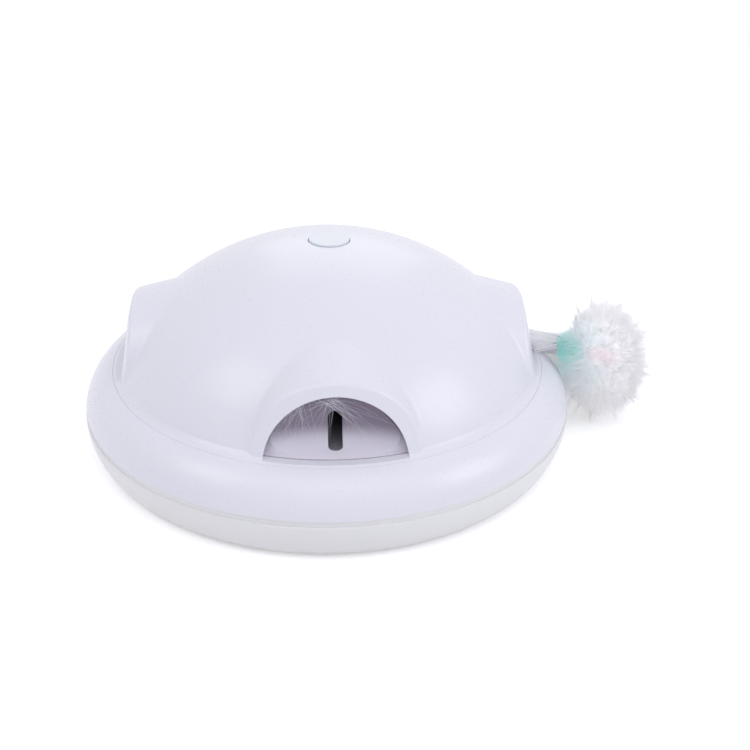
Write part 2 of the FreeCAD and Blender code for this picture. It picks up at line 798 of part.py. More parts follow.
def build_gearbox():
    """Reduction gearbox on top of the motor."""
    w, d = motor_width / 2, motor_depth / 2
    box = block((gear_distance - d, gear_distance + d), (-w, w), (motor_top_z, gearbox_top_z))
    return turned(box, pinion_azimuth)


def build_motor_bracket():
    """Frame round the gearbox with two screwed ears."""
    w, d = motor_width / 2, motor_depth / 2
    wide, deep = w + bracket_wall, d + bracket_wall
    x = gear_distance
    frame = block((x - deep, x + deep), (-wide, wide), (bracket_z, gearbox_top_z))
    reach = wide + bracket_ear
    ears = block((x - d, x + d), (-reach, reach), (bracket_z, bracket_z + bracket_wall))
    core = block((x - d, x + d), (-w, w), (bracket_z, gearbox_top_z))
    bracket = turned(fused(frame, ears).cut(core), pinion_azimuth)
    return bracket.cut([disc(screw_radius + screw_gap, bracket_z, gearbox_top_z, spot)
                        for spot in bracket_places()])


def gear_shaft_parts():
    """Output shaft and the pinion on it."""
    spot = polar(gear_distance, pinion_azimuth)
    pinion_top = pinion_z + pinion_width
    shaft = disc(motor_shaft_radius, gearbox_top_z + axial_gap, pinion_top, spot)
    gear = involute_gear(pinion_teeth, pinion_z, pinion_top)
    gap_turn = 180.0 / pinion_teeth
    gear.rotate(Vector(0, 0, 0), Vector(0, 0, 1), pinion_azimuth + 180.0 + gap_turn)
    gear.translate(spot)
    return shaft, gear.cut(shaft)


def build_drive_wheel():
    """Large gear on the hub, with one tooth pointing at the pinion."""
    wheel = turned(involute_gear(wheel_teeth, gear_z, table_bottom_z), pinion_azimuth)
    step = 360.0 / wheel_hole_count
    holes = [disc(wheel_hole_radius, gear_z, table_bottom_z, polar(wheel_hole_ring, step * i))
             for i in range(wheel_hole_count)]
    return wheel.cut([disc(hub_radius, gear_z, table_bottom_z)] + holes)


def build_turntable():
    """Disc and hub that carry the drum, with the wand's lugs and stop."""
    disc_body = disc(table_radius, table_bottom_z, drum_bottom_z)
    hub = disc(hub_radius, hub_foot_z, hub_top_z)
    y_in = holder_width / 2 + lug_gap
    half = lug_length / 2
    lugs = []
    for side in (-1, 1):
        span = sorted((side * y_in, side * pivot_pin_half))
        lug = block((pivot_x - half, pivot_x + half), span, (table_bottom_z, pivot_z))
        eye = rod(half, (pivot_x, span[0], pivot_z), (pivot_x, span[1], pivot_z))
        lugs += [lug, eye]
    stop_end = holder_end_x - stop_inset
    stop_top = pivot_z - holder_height / 2 - stop_gap
    stop = block((stop_end - stop_width, stop_end), (-stop_width, stop_width), (table_bottom_z, stop_top))
    table = fused(disc_body, hub, *lugs, stop)
    pin = rod(pivot_pin_radius, (pivot_x, -pivot_pin_half, pivot_z), (pivot_x, pivot_pin_half, pivot_z))
    cuts = [disc(bush_radius, hub_foot_z, hub_top_z), pin]
    for a in corner_azimuths:
        cuts.append(disc(screw_radius + screw_gap, table_bottom_z, drum_bottom_z, polar(drum_post_ring, a)))
        cuts.append(disc(table_hole_radius, table_bottom_z, drum_bottom_z, polar(table_hole_ring, a)))
    return table.cut(cuts)


def scoop(grow):
    """Round pocket tool behind the window towards +X, grown into the drum's wall."""
    radius = pocket_radius + grow
    low = drum_floor_z - grow
    bend = pocket_round + grow
    diagonal = bend * math.sqrt(0.5)
    inner = radius - bend
    tool = spun(
        (0, low),
        ((inner, low),),
        ((inner + diagonal, low + bend - diagonal), (radius, low + bend)),
        ((radius + (dome_top_z - low - bend) * pocket_slope, dome_top_z),),
        ((0, dome_top_z),),
    )
    return tool.translated(Vector(pocket_ring, 0, 0))


def drum_slot():
    """Slot through the pocket's wall and the inner part of its floor, towards +X."""
    half = slot_width / 2
    foot_x = slot_foot_radius - half
    back_x = pocket_reach - pocket_round
    top = slot_top_z - half
    low = drum_bottom_z - tiny
    wall = block((back_x, foot_x), (-half, half), (low, top))
    foot = disc(half, low, top, (foot_x, 0))
    crown = rod(half, (back_x, 0, top), (foot_x, 0, top))
    return fused(wall, foot, crown)


def build_drum():
    """Turning drum: a thin ball with four slotted pockets and a floor rim."""
    rim = disc(drum_rim_radius, drum_bottom_z, drum_floor_z)
    ball = dome_body(drum_inset, drum_bottom_z, drum_roof_z)
    outside = fused(ball, rim).cut(ringed(scoop(0.0), window_azimuths))
    hollow = dome_body(drum_inset + drum_wall, drum_bottom_z, drum_roof_z - drum_wall)
    inside = hollow.cut(ringed(scoop(drum_wall), window_azimuths))
    posts = [disc(drum_post_radius, drum_bottom_z, drum_bottom_z + drum_post_height, polar(drum_post_ring, a))
             for a in corner_azimuths]
    limit = dome_body(drum_inset + drum_wall / 2, drum_bottom_z, drum_roof_z - drum_wall / 2)
    posts = [post.common(limit) for post in posts]
    drum = fused(outside.cut(inside), *posts)
    holes = [disc(screw_radius + screw_gap, drum_bottom_z, table_bottom_z + small_screw_length,
                  polar(drum_post_ring, a)) for a in corner_azimuths]
    return drum.cut(ringed(drum_slot(), window_azimuths) + holes)


def mirror_frame():
    """Middle, normal and upward direction of the mirror's face."""
    drop = math.radians(beam_drop)
    leaving = Vector(0, -math.cos(drop), -math.sin(drop))
    normal = (leaving - Vector(0, 0, 1)).normalize()
    along = Vector(1, 0, 0).cross(normal)
    return Vector(0, 0, mirror_z), normal, along


def mirror_slab(length, width, back, front):
    """Slab parallel to the mirror, from behind its face to in front of it."""
    middle, normal, along = mirror_frame()
    corner = middle - along * (length / 2) - Vector(width / 2, 0, 0) - normal * back
    face = Part.Face(Part.makePolygon([
        corner,
        corner + Vector(width, 0, 0),
        corner + Vector(width, 0, 0) + along * length,
        corner + along * length,
        corner,
    ]))
    return face.extrude(normal * (back + front))


def build_mirror_block():
    """Block on the hub that holds the slanted mirror over the beam."""
    low, high = hub_top_z, hub_top_z + block_height
    body = disc(hub_radius, low, high).cut(disc(block_bore, low, low + block_bore_height))
    pocket = mirror_slab(mirror_length, mirror_width, mirror_wall, block_height)
    drop = math.radians(beam_drop)
    way = Vector(0, -math.cos(drop), -math.sin(drop))
    outlet = rod(beam_hole_radius, Vector(0, 0, mirror_z), Vector(0, 0, mirror_z) + way * 2 * hub_radius)
    inlet = disc(beam_hole_radius, low, mirror_z)
    keep = block((-hub_radius, hub_radius), (-hub_radius, hub_radius), (low + block_bore_height, high))
    return body.cut([pocket.common(keep), outlet, inlet])


def laser_parts():
    """Laser barrel standing in the spindle, and the lens on it."""
    barrel = disc(laser_radius, pad_top, pad_top + laser_length)
    lens_z = pad_top + laser_length
    ball = Part.makeSphere(lens_round, Vector(0, 0, lens_z + lens_wall - lens_round))
    lens = disc(laser_radius - slip_gap, lens_z, lens_z + lens_wall).common(ball)
    return barrel, lens


def along_rod(distance):
    """Point of the wand's straight axis at a distance from its pivot."""
    return Vector(pivot_x, 0, pivot_z) + rod_way * distance


def build_wand_rod():
    """Flexible rod from the holder to the puff."""
    return rod(rod_radius, along_rod(holder_length - rod_socket), rod_end)


def build_wand_holder():
    """Block that pivots on the pin and grips the rod."""
    half = holder_height / 2
    body = block((pivot_x - holder_back, holder_end_x), (-holder_width / 2, holder_width / 2),
                 (pivot_z - half, pivot_z + half))
    eye = rod(pivot_pin_radius + running_gap, (pivot_x, -pivot_pin_half, pivot_z), (pivot_x, pivot_pin_half, pivot_z))
    return body.cut([eye, build_wand_rod()])


def build_pivot_pin():
    """Pin of the wand in the turntable's lugs."""
    return rod(pivot_pin_radius, (pivot_x, -pivot_pin_half, pivot_z), (pivot_x, pivot_pin_half, pivot_z))


def build_rod_collar():
    """Crimped collar that ties the puff to the rod."""
    start = rod_end - rod_way * collar_length
    return rod(collar_radius, start, rod_end).cut(build_wand_rod())


def build_fur_neck():
    """Fur that lies along the rod behind the collar."""
    end = rod_end - rod_way * collar_length
    start = end - rod_way * neck_length
    cone = Part.makeCone(neck_start_radius, neck_end_radius, neck_length, start, rod_way)
    return cone.cut(build_wand_rod())


def build_fur_puff():
    """Body of the fur puff, which hangs down from the collar."""
    return ellipsoid(puff_centre, puff_half).cut([build_rod_collar(), build_wand_rod()])


def build_button_cap():
    """Round cap with its skirt, stop rim and stem."""
    ceiling_drop = dome_radius - dome_wall
    rim_top = dome_centre_z + math.sqrt(ceiling_drop ** 2 - retain_radius ** 2) - retain_gap
    skirt_foot = cap_foot_z - button_skirt_length
    skirt_top = cap_foot_z
    rim_low = max(skirt_foot, rim_top - retain_height)
    cap = disc(button_radius, cap_foot_z, cap_top_z)
    crown = edges_where(cap, lambda p: abs(p.z - cap_top_z) < tiny)
    cap = cap.makeFillet(button_edge, crown)
    skirt = tube(button_radius, button_radius - button_skirt, skirt_foot, skirt_top)
    rim = tube(retain_radius, button_radius - button_skirt, rim_low, rim_top)
    stem = disc(stem_radius, stem_foot_z, cap_foot_z)
    return fused(cap, skirt, rim, stem)


def build_button_guide():
    """Cup under the dome in which the cap slides."""
    cup = tube(guide_radius, guide_bore, guide_foot_z, guide_top_z)
    flange = tube(guide_flange_radius, guide_bore, guide_foot_z, guide_foot_z + guide_flange_wall)
    holes = [disc(screw_radius + screw_gap, guide_foot_z, guide_top_z, polar(guide_post_ring, a))
             for a in guide_azimuths]
    room = [disc(guide_post_radius + slip_gap, guide_foot_z + guide_flange_wall, guide_top_z,
                 polar(guide_post_ring, a)) for a in guide_azimuths]
    return fused(cup, flange).cut(holes + room)


def switch_parts():
    """Switch board, push switch and the plunger that the stem presses."""
    half = switch_side / 2
    board = disc(guide_radius, switch_board_z, guide_foot_z)
    body = block((-half, half), (-half, half), (guide_foot_z, switch_top_z))
    well = disc(plunger_radius + running_gap, switch_top_z - plunger_bore_depth, switch_top_z)
    low = switch_top_z - plunger_bore_depth + button_travel + retain_gap
    plunger = disc(plunger_radius, low, stem_foot_z)
    return board, body.cut(well), plunger


def build_button_spring():
    """Return spring between switch board and cap, as its outer sleeve."""
    return tube(spring_radius, spring_radius - spring_wall, guide_foot_z, cap_foot_z)


def main_board_parts():
    """Control board, and the chip, capacitor and plug on it."""
    cx, cy = main_board_centre
    half_x, half_y = main_board_size[0] / 2, main_board_size[1] / 2
    top = main_board_z + board_wall
    board = block((cx - half_x, cx + half_x), (cy - half_y, cy + half_y), (main_board_z, top))
    board = board.cut([disc(screw_radius + screw_gap, main_board_z, top, spot) for spot in board_holes()])
    chip = block((cx - chip_size[0] / 2, cx + chip_size[0] / 2),
                 (cy - chip_size[1] / 2, cy + chip_size[1] / 2), (top, top + chip_size[2]))
    capacitor = disc(capacitor_radius, top, top + capacitor_height, (cx + chip_size[0] + capacitor_radius / 2, cy))
    plug_x = cx - half_x
    plug = block((plug_x, plug_x + plug_size[0]), (cy - plug_size[1] / 2, cy + plug_size[1] / 2),
                 (top, top + plug_size[2]))
    return board, Part.makeCompound([chip, capacitor, plug])


def group(spots, z, up, length):
    """Screws of one size at several places, running up or down from a height."""
    way = Vector(0, 0, 1 if up else -1)
    return Part.makeCompound([screw((spot[0], spot[1], z), way, length) for spot in spots])


def ring_spots(radius, azimuths):
    """Places on a ring."""
    return [polar(radius, a) for a in azimuths]


def export(parts):
    """Write every sub-part as its own STEP file."""
    os.makedirs("parts", exist_ok=True)
    for name, shape in parts.items():
        shape.exportStep(f"parts/{name}.step")


def build_all():
    """Every sub-part by name."""
    cover = build_dome_cover()
    drum = build_drum()
    barrel, lens = laser_parts()
    shaft, pinion = gear_shaft_parts()
    switch_board, push_switch, plunger = switch_parts()
    main_board, board_parts = main_board_parts()
    pin = build_pivot_pin()
    return {
        "dome_cover": cover,
        "brim_ring": build_brim_ring(),
        "base_pan": build_base_pan(),
        "battery_door": build_battery_door(),
        "battery_door_screw": group([(0, door_screw_y)], floor_z + screw_head_wall, True, door_screw_length),
        "battery_cells": battery_cells(),
        "battery_contacts": battery_contacts(),
        "rubber_foot_ring": foot_band(0.0, 0.0, foot_height),
        "case_screws": group(ring_spots(case_screw_ring, corner_azimuths), case_screw_seat, True,
                             case_screw_length),
        "spindle": build_spindle(),
        "spindle_screws": group(ring_spots(flange_screw_ring, flange_screw_azimuths), flange_top, False,
                                small_screw_length - screw_tip_gap),
        "retaining_clip": build_retaining_clip(),
        "laser_barrel": barrel,
        "laser_lens": lens,
        "drive_motor": build_gear_motor(),
        "motor_gearbox": build_gearbox(),
        "motor_bracket": build_motor_bracket(),
        "bracket_screws": group(bracket_places(), bracket_z + bracket_wall, False, small_screw_length),
        "main_board": main_board,
        "board_components": board_parts,
        "board_screws": group(board_holes(), main_board_z + board_wall, False, short_screw_length),
        "button_guide": build_button_guide(),
        "guide_screws": group(ring_spots(guide_post_ring, guide_azimuths), guide_foot_z, True,
                              small_screw_length - screw_tip_gap),
        "switch_board": switch_board,
        "push_switch": push_switch,
        "button_cap": build_button_cap(),
        "switch_plunger": plunger,
        "button_spring": build_button_spring(),
        "gearbox_shaft": shaft,
        "drive_pinion": pinion,
        "drive_wheel": build_drive_wheel(),
        "thrust_washer": tube(washer_radius, bush_bore, washer_z, hub_foot_z),
        "hub_bush": tube(bush_radius, bush_bore, hub_foot_z, hub_top_z),
        "turntable": build_turntable(),
        "drum": drum,
        "drum_screws": group(ring_spots(drum_post_ring, corner_azimuths), table_bottom_z, True,
                             small_screw_length - screw_tip_gap),
        "mirror_block": build_mirror_block(),
        "mirror": mirror_slab(mirror_length, mirror_width, mirror_wall, 0.0),
        "wand_pivot_pin": pin,
        "wand_holder": build_wand_holder(),
        "wand_rod": build_wand_rod(),
        "rod_collar": build_rod_collar(),
        "fur_neck": build_fur_neck(),
        "fur_puff": build_fur_puff(),
        "pocket_wisp": ellipsoid(wisp_centre, wisp_half).common(turned(scoop(0.0), front_azimuth)),
    }


if __name__ == "__main__":
    export(build_all())
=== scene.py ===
import logging
import math
from dataclasses import dataclass, field
from enum import Enum

import bpy
import numpy as np
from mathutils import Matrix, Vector

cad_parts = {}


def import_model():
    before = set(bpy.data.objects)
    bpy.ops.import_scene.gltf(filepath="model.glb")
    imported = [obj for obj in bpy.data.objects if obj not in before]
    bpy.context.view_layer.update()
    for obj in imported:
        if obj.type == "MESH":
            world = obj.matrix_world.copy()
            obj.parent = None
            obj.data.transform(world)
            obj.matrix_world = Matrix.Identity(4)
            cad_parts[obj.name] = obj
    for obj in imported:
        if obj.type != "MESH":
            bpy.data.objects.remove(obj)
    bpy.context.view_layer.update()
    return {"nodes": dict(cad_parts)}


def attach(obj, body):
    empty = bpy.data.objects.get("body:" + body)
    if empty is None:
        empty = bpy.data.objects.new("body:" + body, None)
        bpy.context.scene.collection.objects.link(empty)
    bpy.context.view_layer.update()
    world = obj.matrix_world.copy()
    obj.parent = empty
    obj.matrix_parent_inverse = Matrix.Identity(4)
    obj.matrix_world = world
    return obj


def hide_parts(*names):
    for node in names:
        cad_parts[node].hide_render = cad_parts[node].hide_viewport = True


log = logging.getLogger("cat_laser_toy")
# The fur's sizes are in millimetres, Blender's own are in metres.
MM = 0.001
# The brim's round side is an arc of radius CROWN_ROUND about the circle of radius CROWN_R at height BRIM_Z.
BRIM_Z = 17.4
CROWN_R = 98.1
CROWN_ROUND = 21.9
# Least distance of the fur from the brim.
BRIM_AIR = 0.7
# Added to a hair's direction before the cross product that finds a direction across the hair.
ASIDE = (0.3, 0.5, 0.1)
Colour = tuple[float, float, float]
Point = tuple[float, float, float]
Span = tuple[float, float]


class Body(Enum):
    """Moving bodies of the toy that a new piece rides on."""

    ROTOR = "rotor"
    WAND = "wand"


class Surface(Enum):
    """How a finish looks close up."""

    MOULDED = "moulded plastic with a fine mould texture"
    RUBBER = "matt rubber"
    METAL = "drawn or turned metal"
    FOIL = "printed sleeve of a cell"
    BOARD = "lacquered circuit board"
    CLEAR = "clear lens or mirror"


@dataclass(frozen=True)
class Finish:
    """A solid finish: its colour, its gloss and the grain that a close look shows."""

    name: str
    surface: Surface
    colour: Colour
    shade: Colour
    roughness: float = 0.35
    cloud_scale: float = 18.0
    grain_scale: float = 900.0
    grain_depth: float = 0.0000015
    metallic: float = 0.0
    coat: float = 0.0
    coat_roughness: float = 0.12
    cloud_detail: float = 4.0
    grain_detail: float = 2.0
    grain_strength: float = 0.5
    # How far the roughness goes below and above its own value.
    gloss_spread: Span = (0.03, 0.04)
    least_roughness: float = 0.02
    # Painted shade: between these heights, in metres, the colour turns to this darker one towards the top.
    painted_shade: Colour | None = None
    painted_shade_from: float = 0.0385
    painted_shade_to: float = 0.0475

    def material(self) -> bpy.types.Material:
        """Build the node material of this finish.

        Returns:
            The material, with its pattern on Object coordinates.
        """
        made = bpy.data.materials.new(self.name)
        made.use_nodes = True
        made.diffuse_color = (*self.colour, 1.0)
        nodes, links = made.node_tree.nodes, made.node_tree.links
        shader = nodes["Principled BSDF"]
        shader.inputs["Metallic"].default_value = self.metallic
        shader.inputs["Coat Weight"].default_value = self.coat
        shader.inputs["Coat Roughness"].default_value = self.coat_roughness
        place = nodes.new("ShaderNodeTexCoord")
        cloud = self._noise(made, place, self.cloud_scale, self.cloud_detail)
        grain = self._noise(made, place, self.grain_scale, self.grain_detail)
        tint = nodes.new("ShaderNodeMix")
        tint.data_type = "RGBA"
        tint.inputs["A"].default_value = (*self.colour, 1.0)
        tint.inputs["B"].default_value = (*self.shade, 1.0)
        links.new(cloud.outputs["Fac"], tint.inputs["Factor"])
        links.new(tint.outputs["Result"], shader.inputs["Base Color"])
        # Painted shade, darker towards the top.
        if self.painted_shade:
            self._paint_shade(made, place, tint)
        gloss = nodes.new("ShaderNodeMapRange")
        least = max(self.roughness - self.gloss_spread[0], self.least_roughness)
        gloss.inputs["To Min"].default_value = least
        gloss.inputs["To Max"].default_value = self.roughness + self.gloss_spread[1]
        links.new(grain.outputs["Fac"], gloss.inputs["Value"])
        links.new(gloss.outputs["Result"], shader.inputs["Roughness"])
        bump = nodes.new("ShaderNodeBump")
        bump.inputs["Distance"].default_value = self.grain_depth
        bump.inputs["Strength"].default_value = self.grain_strength
        links.new(grain.outputs["Fac"], bump.inputs["Height"])
        links.new(bump.outputs["Normal"], shader.inputs["Normal"])
        return made

    def _paint_shade(self, made: bpy.types.Material, place: bpy.types.Node, tint: bpy.types.Node) -> None:
        """Paint shade on the upper part of a piece that lies far back behind a window: the colour turns
        darker with height, standing in for the hood's shade.

        Args:
            made: The material that gets the shade.
            place: The node that gives the Object coordinates.
            tint: The node that gives the plain colour.
        """
        nodes, links = made.node_tree.nodes, made.node_tree.links
        parts = nodes.new("ShaderNodeSeparateXYZ")
        links.new(place.outputs["Object"], parts.inputs["Vector"])
        share = nodes.new("ShaderNodeMapRange")
        share.interpolation_type = "SMOOTHSTEP"
        share.inputs["From Min"].default_value = self.painted_shade_from
        share.inputs["From Max"].default_value = self.painted_shade_to
        links.new(parts.outputs["Z"], share.inputs["Value"])
        fade = nodes.new("ShaderNodeMix")
        fade.data_type = "RGBA"
        fade.inputs["B"].default_value = (*self.painted_shade, 1.0)
        links.new(share.outputs["Result"], fade.inputs["Factor"])
        links.new(tint.outputs["Result"], fade.inputs["A"])
        links.new(fade.outputs["Result"], made.node_tree.nodes["Principled BSDF"].inputs["Base Color"])

    @staticmethod
    def _noise(made: bpy.types.Material, place: bpy.types.Node, scale: float,
               detail: float) -> bpy.types.Node:
        """Add a noise pattern.

        Args:
            made: The material that gets it.
            place: The node that gives the Object coordinates.
            scale: How fine it is.
            detail: How many finer layers it has.

        Returns:
            The noise node.
        """
        noise = made.node_tree.nodes.new("ShaderNodeTexNoise")
        noise.inputs["Scale"].default_value = scale
        noise.inputs["Detail"].default_value = detail
        made.node_tree.links.new(place.outputs["Object"], noise.inputs["Vector"])
        return noise


@dataclass(frozen=True)
class FurFinish:
    """Soft fur whose dye is held by the fibres themselves, in their colour attribute."""

    name: str = "dyed_fur"
    attribute: str = "dye"
    roughness: float = 0.8
    sheen: float = 0.4
    specular: float = 0.2
    # Painted light: how strongly the fur glows in its own dye, standing in for light passed on among the
    # hairs.
    painted_glow: float = 0.20
    fleck_scale: float = 420.0
    fleck_share: float = 0.02

    def material(self) -> bpy.types.Material:
        """Build the node material of the fur.

        Returns:
            The material, which reads the dye of each fibre.
        """
        made = bpy.data.materials.new(self.name)
        made.use_nodes = True
        nodes, links = made.node_tree.nodes, made.node_tree.links
        shader = nodes["Principled BSDF"]
        shader.inputs["Roughness"].default_value = self.roughness
        shader.inputs["Sheen Weight"].default_value = self.sheen
        shader.inputs["Specular IOR Level"].default_value = self.specular
        dye = nodes.new("ShaderNodeAttribute")
        dye.attribute_name = self.attribute
        place = nodes.new("ShaderNodeTexCoord")
        fleck = nodes.new("ShaderNodeTexNoise")
        fleck.inputs["Scale"].default_value = self.fleck_scale
        links.new(place.outputs["Object"], fleck.inputs["Vector"])
        light = nodes.new("ShaderNodeMix")
        light.data_type = "RGBA"
        light.blend_type = "MULTIPLY"
        light.inputs["Factor"].default_value = self.fleck_share
        links.new(dye.outputs["Color"], light.inputs["A"])
        links.new(fleck.outputs["Fac"], light.inputs["B"])
        links.new(light.outputs["Result"], shader.inputs["Base Color"])
        # Painted light: the dye also glows.
        links.new(light.outputs["Result"], shader.inputs["Emission Color"])
        shader.inputs["Emission Strength"].default_value = self.painted_glow
        return made


SHELL_WHITE = Finish("shell_white", Surface.MOULDED, (0.78, 0.775, 0.838), (0.757, 0.75, 0.812), 0.28)
RING_WHITE = Finish("ring_white", Surface.MOULDED, (0.78, 0.775, 0.838), (0.757, 0.75, 0.812), 0.28)
PAN_WHITE = Finish("pan_white", Surface.MOULDED, (0.82, 0.815, 0.815), (0.80, 0.795, 0.795), 0.38)
# The drum gets painted shade on its upper part, darker towards the top.
DRUM_WHITE = Finish("drum_white", Surface.MOULDED, (0.86, 0.83, 0.92), (0.83, 0.80, 0.89), 0.42,
                    painted_shade=(0.28, 0.235, 0.31))
BUTTON_WHITE = Finish("button_white", Surface.MOULDED, (0.70, 0.73, 0.77), (0.68, 0.71, 0.75), 0.24)
INNER_GREY = Finish("inner_grey", Surface.MOULDED, (0.30, 0.30, 0.33), (0.25, 0.25, 0.28), 0.5)
DARK_PLASTIC = Finish("dark_plastic", Surface.MOULDED, (0.035, 0.034, 0.036), (0.05, 0.048, 0.05), 0.45)
NYLON = Finish("nylon", Surface.MOULDED, (0.78, 0.75, 0.66), (0.72, 0.69, 0.60), 0.4)
RUBBER = Finish("rubber", Surface.RUBBER, (0.09, 0.09, 0.10), (0.12, 0.12, 0.13), 0.85, grain_depth=0.00003)
STEEL = Finish("steel", Surface.METAL, (0.62, 0.62, 0.64), (0.52, 0.52, 0.55), 0.28, metallic=1.0)
BRASS = Finish("brass", Surface.METAL, (0.72, 0.55, 0.28), (0.62, 0.46, 0.22), 0.3, metallic=1.0)
MIRROR = Finish("mirror_silver", Surface.CLEAR, (0.93, 0.94, 0.95), (0.90, 0.91, 0.93), 0.06, metallic=1.0)
LENS = Finish("lens", Surface.CLEAR, (0.60, 0.08, 0.09), (0.50, 0.05, 0.06), 0.08, coat=0.8)
CELL = Finish("cell_sleeve", Surface.FOIL, (0.20, 0.42, 0.24), (0.16, 0.36, 0.20), 0.32, coat=0.3)
BOARD = Finish("board_green", Surface.BOARD, (0.05, 0.22, 0.11), (0.04, 0.17, 0.08), 0.35, coat=0.4)
CHIP = Finish("chip_black", Surface.MOULDED, (0.03, 0.03, 0.033), (0.045, 0.045, 0.05), 0.5)
ROD_BLACK = Finish("rod_black", Surface.MOULDED, (0.05, 0.045, 0.05), (0.08, 0.075, 0.08), 0.3)
MINT_SLEEVE = Finish("mint_sleeve", Surface.RUBBER, (0.30, 0.62, 0.55), (0.24, 0.55, 0.48), 0.6)
FUR = FurFinish()


@dataclass
class Dress:
    """Which finish each part of the frame wears."""

    worn: dict[str, Finish] = field(default_factory=lambda: {
        "dome_cover": SHELL_WHITE, "brim_ring": RING_WHITE, "base_pan": PAN_WHITE,
        "battery_door": PAN_WHITE, "battery_door_screw": STEEL, "battery_cells": CELL,
        "battery_contacts": STEEL, "rubber_foot_ring": RUBBER, "case_screws": STEEL,
        "spindle": NYLON, "spindle_screws": STEEL, "retaining_clip": STEEL,
        "laser_barrel": BRASS, "laser_lens": LENS, "drive_motor": STEEL,
        "motor_gearbox": NYLON, "motor_bracket": INNER_GREY, "bracket_screws": STEEL,
        "main_board": BOARD, "board_components": CHIP, "board_screws": STEEL,
        "button_guide": INNER_GREY, "guide_screws": STEEL, "switch_board": BOARD,
        "push_switch": CHIP, "button_cap": BUTTON_WHITE, "switch_plunger": NYLON,
        "button_spring": STEEL, "gearbox_shaft": STEEL, "drive_pinion": NYLON,
        "drive_wheel": NYLON, "thrust_washer": BRASS, "hub_bush": BRASS,
        "turntable": INNER_GREY, "drum": DRUM_WHITE, "drum_screws": STEEL,
        "mirror_block": INNER_GREY, "mirror": MIRROR, "wand_pivot_pin": STEEL,
        "wand_holder": DARK_PLASTIC, "wand_rod": ROD_BLACK, "rod_collar": MINT_SLEEVE,
    })

    def put_on(self, nodes: dict[str, bpy.types.Object]) -> None:
        """Give every part of the frame its finish.

        Args:
            nodes: The objects of the frame by name.
        """
        made: dict[str, bpy.types.Material] = {}
        for name, finish in self.worn.items():
            if finish.name not in made:
                made[finish.name] = finish.material()
            mesh = nodes[name].data
            mesh.materials.clear()
            mesh.materials.append(made[finish.name])
            log.info("%s wears %s, %s", name, finish.name, finish.surface.value)


def deselect_all() -> None:
    """Leave edit mode and clear the selection."""
    if bpy.context.object and bpy.context.object.mode != "OBJECT":
        bpy.ops.object.mode_set(mode="OBJECT")
    bpy.ops.object.select_all(action="DESELECT")


@dataclass(frozen=True)
class Fibre:
    """One tapering hair, modelled once along +Z with a length and radius of 1."""

    sides: int = 3
    steps: int = 4
    tip: float = 0.18

    def stations(self) -> np.ndarray:
        """Heights of the hair's rings, from 0 at its root to 1 at its tip."""
        return np.linspace(0.0, 1.0, self.steps + 1)

    def master(self) -> bpy.types.Object:
        """Model the hair by drawing a small triangle out in steps.

        Returns:
            The hair, to be copied and then thrown away.
        """
        deselect_all()
        bpy.ops.mesh.primitive_circle_add(
            vertices=self.sides, radius=1.0, fill_type="NGON", location=(0, 0, 0))
        hair = bpy.context.object
        hair.name = "fibre_master"
        bpy.ops.object.mode_set(mode="EDIT")
        bpy.ops.mesh.select_mode(type="FACE")
        bpy.ops.mesh.select_all(action="SELECT")
        shrink = self.tip ** (1.0 / self.steps)
        for _ in range(self.steps):
            bpy.ops.mesh.extrude_region_move(
                TRANSFORM_OT_translate={"value": (0, 0, 1.0 / self.steps)})
            bpy.ops.transform.resize(value=(shrink, shrink, 1.0))
        bpy.ops.mesh.select_all(action="SELECT")
        bpy.ops.mesh.normals_make_consistent(inside=False)
        bpy.ops.mesh.quads_convert_to_tris()
        bpy.ops.object.mode_set(mode="OBJECT")
        return hair


@dataclass
class Fur:
    """A tuft of hairs that follow given paths and carry their own dye."""

    name: str
    body: Body
    slot: str
    fibre: Fibre = Fibre()

    def grow(self, paths: np.ndarray, radii: np.ndarray, dyes: np.ndarray, facing: np.ndarray,
             material: bpy.types.Material) -> bpy.types.Object:
        """Copy the master hair along every path.

        Args:
            paths: Points of each hair, (hairs, steps + 1, 3), in millimetres.
            radii: Root radius of each hair in millimetres.
            dyes: Colour at each point of each hair, (hairs, steps + 1, 3).
            facing: Direction that each point's fur faces, (hairs, steps + 1, 3), so that the tuft
                shades as one soft form.
            material: The fur's material.

        Returns:
            The tuft as one object.
        """
        hair = self.fibre.master()
        local = np.array([v.co for v in hair.data.vertices])
        faces = np.array([p.vertices[:] for p in hair.data.polygons])
        bpy.data.objects.remove(hair)
        ring = np.rint(local[:, 2] * self.fibre.steps).astype(int)
        ahead = unit(np.gradient(paths, axis=1))
        across = unit(np.cross(ahead, np.roll(ahead[:, :1, :], 1, axis=2) + ASIDE))
        third = np.cross(ahead, across)
        count = len(paths)
        points = (paths[:, ring] + radii[:, None, None] * (
            across[:, ring] * local[None, :, 0, None] + third[:, ring] * local[None, :, 1, None]))
        shift = (np.arange(count) * len(local))[:, None, None]
        mesh = bpy.data.meshes.new(self.name)
        mesh.from_pydata((points * MM).reshape(-1, 3), [], (faces[None] + shift).reshape(-1, 3).tolist())
        dye = mesh.color_attributes.new(FUR.attribute, "FLOAT_COLOR", "POINT")
        shown = np.concatenate([dyes[:, ring], np.ones((count, len(local), 1))], axis=2)
        dye.data.foreach_set("color", shown.astype(np.float32).ravel())
        tuft = bpy.data.objects.new(self.name, mesh)
        bpy.context.scene.collection.objects.link(tuft)
        deselect_all()
        tuft.select_set(True)
        bpy.context.view_layer.objects.active = tuft
        bpy.ops.object.shade_smooth()
        mesh.normals_split_custom_set_from_vertices(unit(facing[:, ring]).reshape(-1, 3))
        mesh.materials.append(material)
        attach(tuft, self.body.value)
        log.info("%s: %d hairs, %d triangles", self.name, count, len(mesh.polygons))
        return tuft


def unit(vectors: np.ndarray) -> np.ndarray:
    """Vectors of length 1 in the same directions."""
    return vectors / np.maximum(np.linalg.norm(vectors, axis=-1, keepdims=True), 1e-12)


